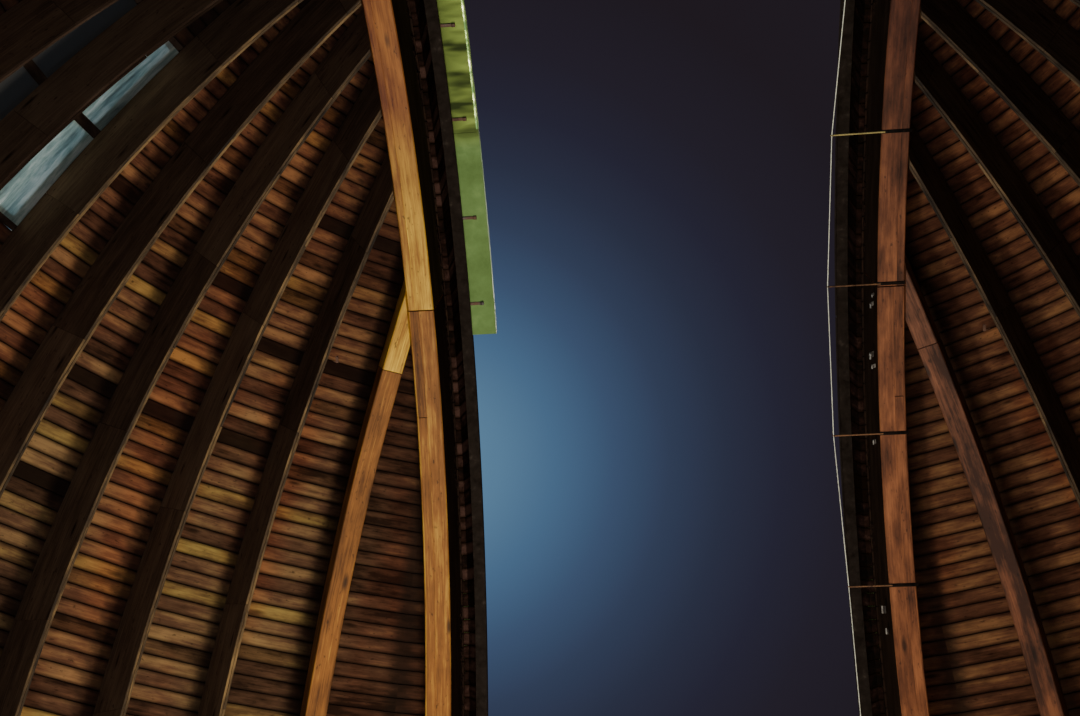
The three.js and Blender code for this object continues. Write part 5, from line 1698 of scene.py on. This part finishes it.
green_door, shader = new_material("softwood_dark_green_oil_paint")
wood = node(green_door, "ShaderNodeAttribute", attribute_name="wood")
brush_place = node(green_door, "ShaderNodeMapping", {"Vector": wood.outputs["Vector"], "Scale": (3.0, 120.0, 120.0)})
brush = node(green_door, "ShaderNodeTexNoise", {"Vector": brush_place.outputs[0], "Scale": 1.0, "Detail": 4.0})
place = node(green_door, "ShaderNodeTexCoord")
chip = node(green_door, "ShaderNodeTexNoise", {"Vector": place.outputs["Object"], "Scale": 22.0, "Detail": 8.0,
                                               "Roughness": 0.72})
heights = node(green_door, "ShaderNodeSeparateXYZ", {0: place.outputs["Object"]})
low = node(green_door, "ShaderNodeMapRange", {0: heights.outputs["Z"], 1: 0.1, 2: 0.9, 3: 0.09, 4: 0.0})
worn = node(green_door, "ShaderNodeMath", {0: chip.outputs["Fac"], 1: low.outputs[0]}, operation="ADD")
bare = node(green_door, "ShaderNodeMapRange", {0: worn.outputs[0], 1: 0.66, 2: 0.69, 3: 0.0, 4: 1.0})
shades = node(green_door, "ShaderNodeValToRGB", {"Fac": brush.outputs["Fac"]})
set_stops(shades, [(0.3, "#26352b"), (0.7, "#35493b")])
chipped = node(green_door, "ShaderNodeMix", {0: bare.outputs[0], 6: shades.outputs[0], 7: linear("#8a7355")},
               data_type="RGBA", blend_type="MIX")
green_door.node_tree.links.new(chipped.outputs[2], shader.inputs["Base Color"])
gloss = node(green_door, "ShaderNodeMapRange", {0: bare.outputs[0], 1: 0.0, 2: 1.0, 3: 0.38, 4: 0.8})
green_door.node_tree.links.new(gloss.outputs[0], shader.inputs["Roughness"])
film = node(green_door, "ShaderNodeMath", {0: bare.outputs[0], 1: -0.6, 2: brush.outputs["Fac"]},
            operation="MULTIPLY_ADD")
strokes = node(green_door, "ShaderNodeBump", {"Height": film.outputs[0], "Strength": 0.35, "Distance": 0.001})
green_door.node_tree.links.new(strokes.outputs[0], shader.inputs["Normal"])

# %% Wall lengths
FLOOR = -2.95  # the ground, measured from the dome's centre
WALL_IN, WALL_OUT, WALL_TOP = 3.780, 4.080, -0.400
# a smooth round wall with its arrises eased; the CAD wall's flats touch this circle at their corners
wall_section = [(WALL_IN + 0.003, FLOOR), (WALL_OUT, FLOOR), (WALL_OUT, WALL_TOP - 0.012), (WALL_OUT - 0.004, WALL_TOP - 0.004),
                (WALL_OUT - 0.012, WALL_TOP), (WALL_IN + 0.015, WALL_TOP), (WALL_IN + 0.007, WALL_TOP - 0.004),
                (WALL_IN + 0.003, WALL_TOP - 0.012)]
for name, a, b in (("front_left", 0.003, 89.997), ("rear_left", 90.003, 174), ("rear_right", 186, 269.997),
                   ("front_right", 270.003, 359.997)):
    wall = ring_bar(f"render_{name}", wall_section, a, b, 1.5)
    if "rear" in name:
        jamb = ring_bar("jamb", wall_section, *((174, 176) if "left" in name else (184, 186)), 2)
        wall = join(f"render_{name}", [wall, jamb])
        edit(wall)
        bpy.ops.mesh.remove_doubles(threshold=0.0002)
        bpy.ops.object.mode_set(mode="OBJECT")
        side = -1 if "left" in name else 1
        cut(wall, (side * 0.5, 0, 0), (-side, 0, 0))
    dress(wall, plaster, body="base")
    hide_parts(f"wall_{name}")
over = ring_bar("render_over_door", [(r, max(z, FLOOR + 2.150)) for r, z in wall_section], 170, 190, 1.25)
cut(over, (-0.4997, 0, 0), (-1, 0, 0))
cut(over, (0.4997, 0, 0), (1, 0, 0))
dress(over, plaster, body="base")
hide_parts("wall_over_door")
floor = frame["nodes"]["floor"]
floor.data.materials.clear()
floor.data.materials.append(concrete)

# %% Door frame
frame_bars = [block("jamb", (-0.4995, -3.990, FLOOR + 0.1004), (-0.4398, -3.870, FLOOR + 2.1495), eased=0.003),
              block("jamb", (0.4398, -3.990, FLOOR + 0.1004), (0.4995, -3.870, FLOOR + 2.1495), eased=0.003),
              block("head", (-0.4397, -3.990, FLOOR + 2.0897), (0.4397, -3.870, FLOOR + 2.1495), eased=0.003)]
for piece, along in zip(frame_bars, (2, 2, 0)):
    grain_straight(piece, along)
door_frame = number_planks(join("door_frame_bars", frame_bars), 0.2, 95)
dress(door_frame, green_door, body="base")
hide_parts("door_frame")

# %% Door leaf
door_left, door_right, door_low, door_high = -0.4394, 0.4364, FLOOR + 0.106, FLOOR + 2.086
boards = []
count = 8
wide = (door_right - door_left) / count
for k in range(count):
    x0 = door_left + k * wide
    boards.append(block("board", (x0 + 0.0006, -3.970, door_low), (x0 + wide - 0.0006, -3.948, door_high), eased=0.003))
for z in (door_low + 0.16, door_low + 0.93, door_low + 1.70):
    boards.append(block("ledge", (door_left + 0.02, -3.948, z), (door_right - 0.02, -3.926, z + 0.12), eased=0.006))
for piece in boards:
    grain_straight(piece, 2 if piece.name.startswith("board") else 0)
door = number_planks(join("door_boards", boards), 0.2, 96)
dress(door, green_door, body="base")
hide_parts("door")
fittings = []
for z in (door_low + 0.22, door_low + 1.76):
    # strap hinge, tapering to a round end, with four studs
    strap = prism("strap", [(door_left + 0.010, -3.9705, z - 0.020), (door_left + 0.52, -3.9705, z - 0.011),
                            (door_left + 0.545, -3.9705, z), (door_left + 0.52, -3.9705, z + 0.011),
                            (door_left + 0.010, -3.9705, z + 0.020)], (0, -0.004, 0))
    fittings.append(ease(strap, 0.001))
    fittings.append(ease(rod("knuckle", (door_left - 0.002, -3.976, z - 0.030), (door_left - 0.002, -3.976, z + 0.030),
                             0.0085, 16), 0.0015))
    for x in (0.06, 0.18, 0.32, 0.47):
        spot = Vector((door_left + x, -3.9740, z))
        fittings.append(ease(rod("stud", spot, spot + Vector((0, -0.004, 0)), 0.0075, 12), 0.002))
lock_plate = block("lock_plate", (0.372, -3.9735, -1.98), (0.412, -3.9695, -1.76), eased=0.0015)
fittings.append(lock_plate)
fittings.append(ease(rod("spindle", (0.392, -3.972, -1.815), (0.392, -4.005, -1.815), 0.008, 14), 0.001))
fittings.append(ease(rod("handle", (0.392, -4.003, -1.815), (0.285, -4.005, -1.819), 0.0085, 14), 0.004))
fittings.append(ease(rod("keyhole_ring", (0.392, -3.9725, -1.91), (0.392, -3.9765, -1.91), 0.011, 18), 0.002))
fittings = join("door_fittings", fittings)
dress(fittings, dark_iron, body="base")
print("door fittings:", len(fittings.data.polygons), "faces")

# %% [markdown]
# ## Light from outside
# Light linking gives a lamp a list of the pieces that it lights. The suns light the ground and what stands outside,
# and the timber inside keeps the light of its own lamps and of the sky.

# %% Light linking
INSIDE = ("boards_", "planks_", "beam_", "brace_", "upstand_", "felt_", "sill", "header", "studs_", "wire_", "slit_", "floor")
outside = bpy.data.collections.new("pieces_lit_from_outside")
for piece in bpy.context.scene.objects:
    if piece.type == "MESH" and not piece.name.startswith(INSIDE):
        outside.objects.link(piece)
for lamp in outside_lamps:
    lamp.light_linking.receiver_collection = outside
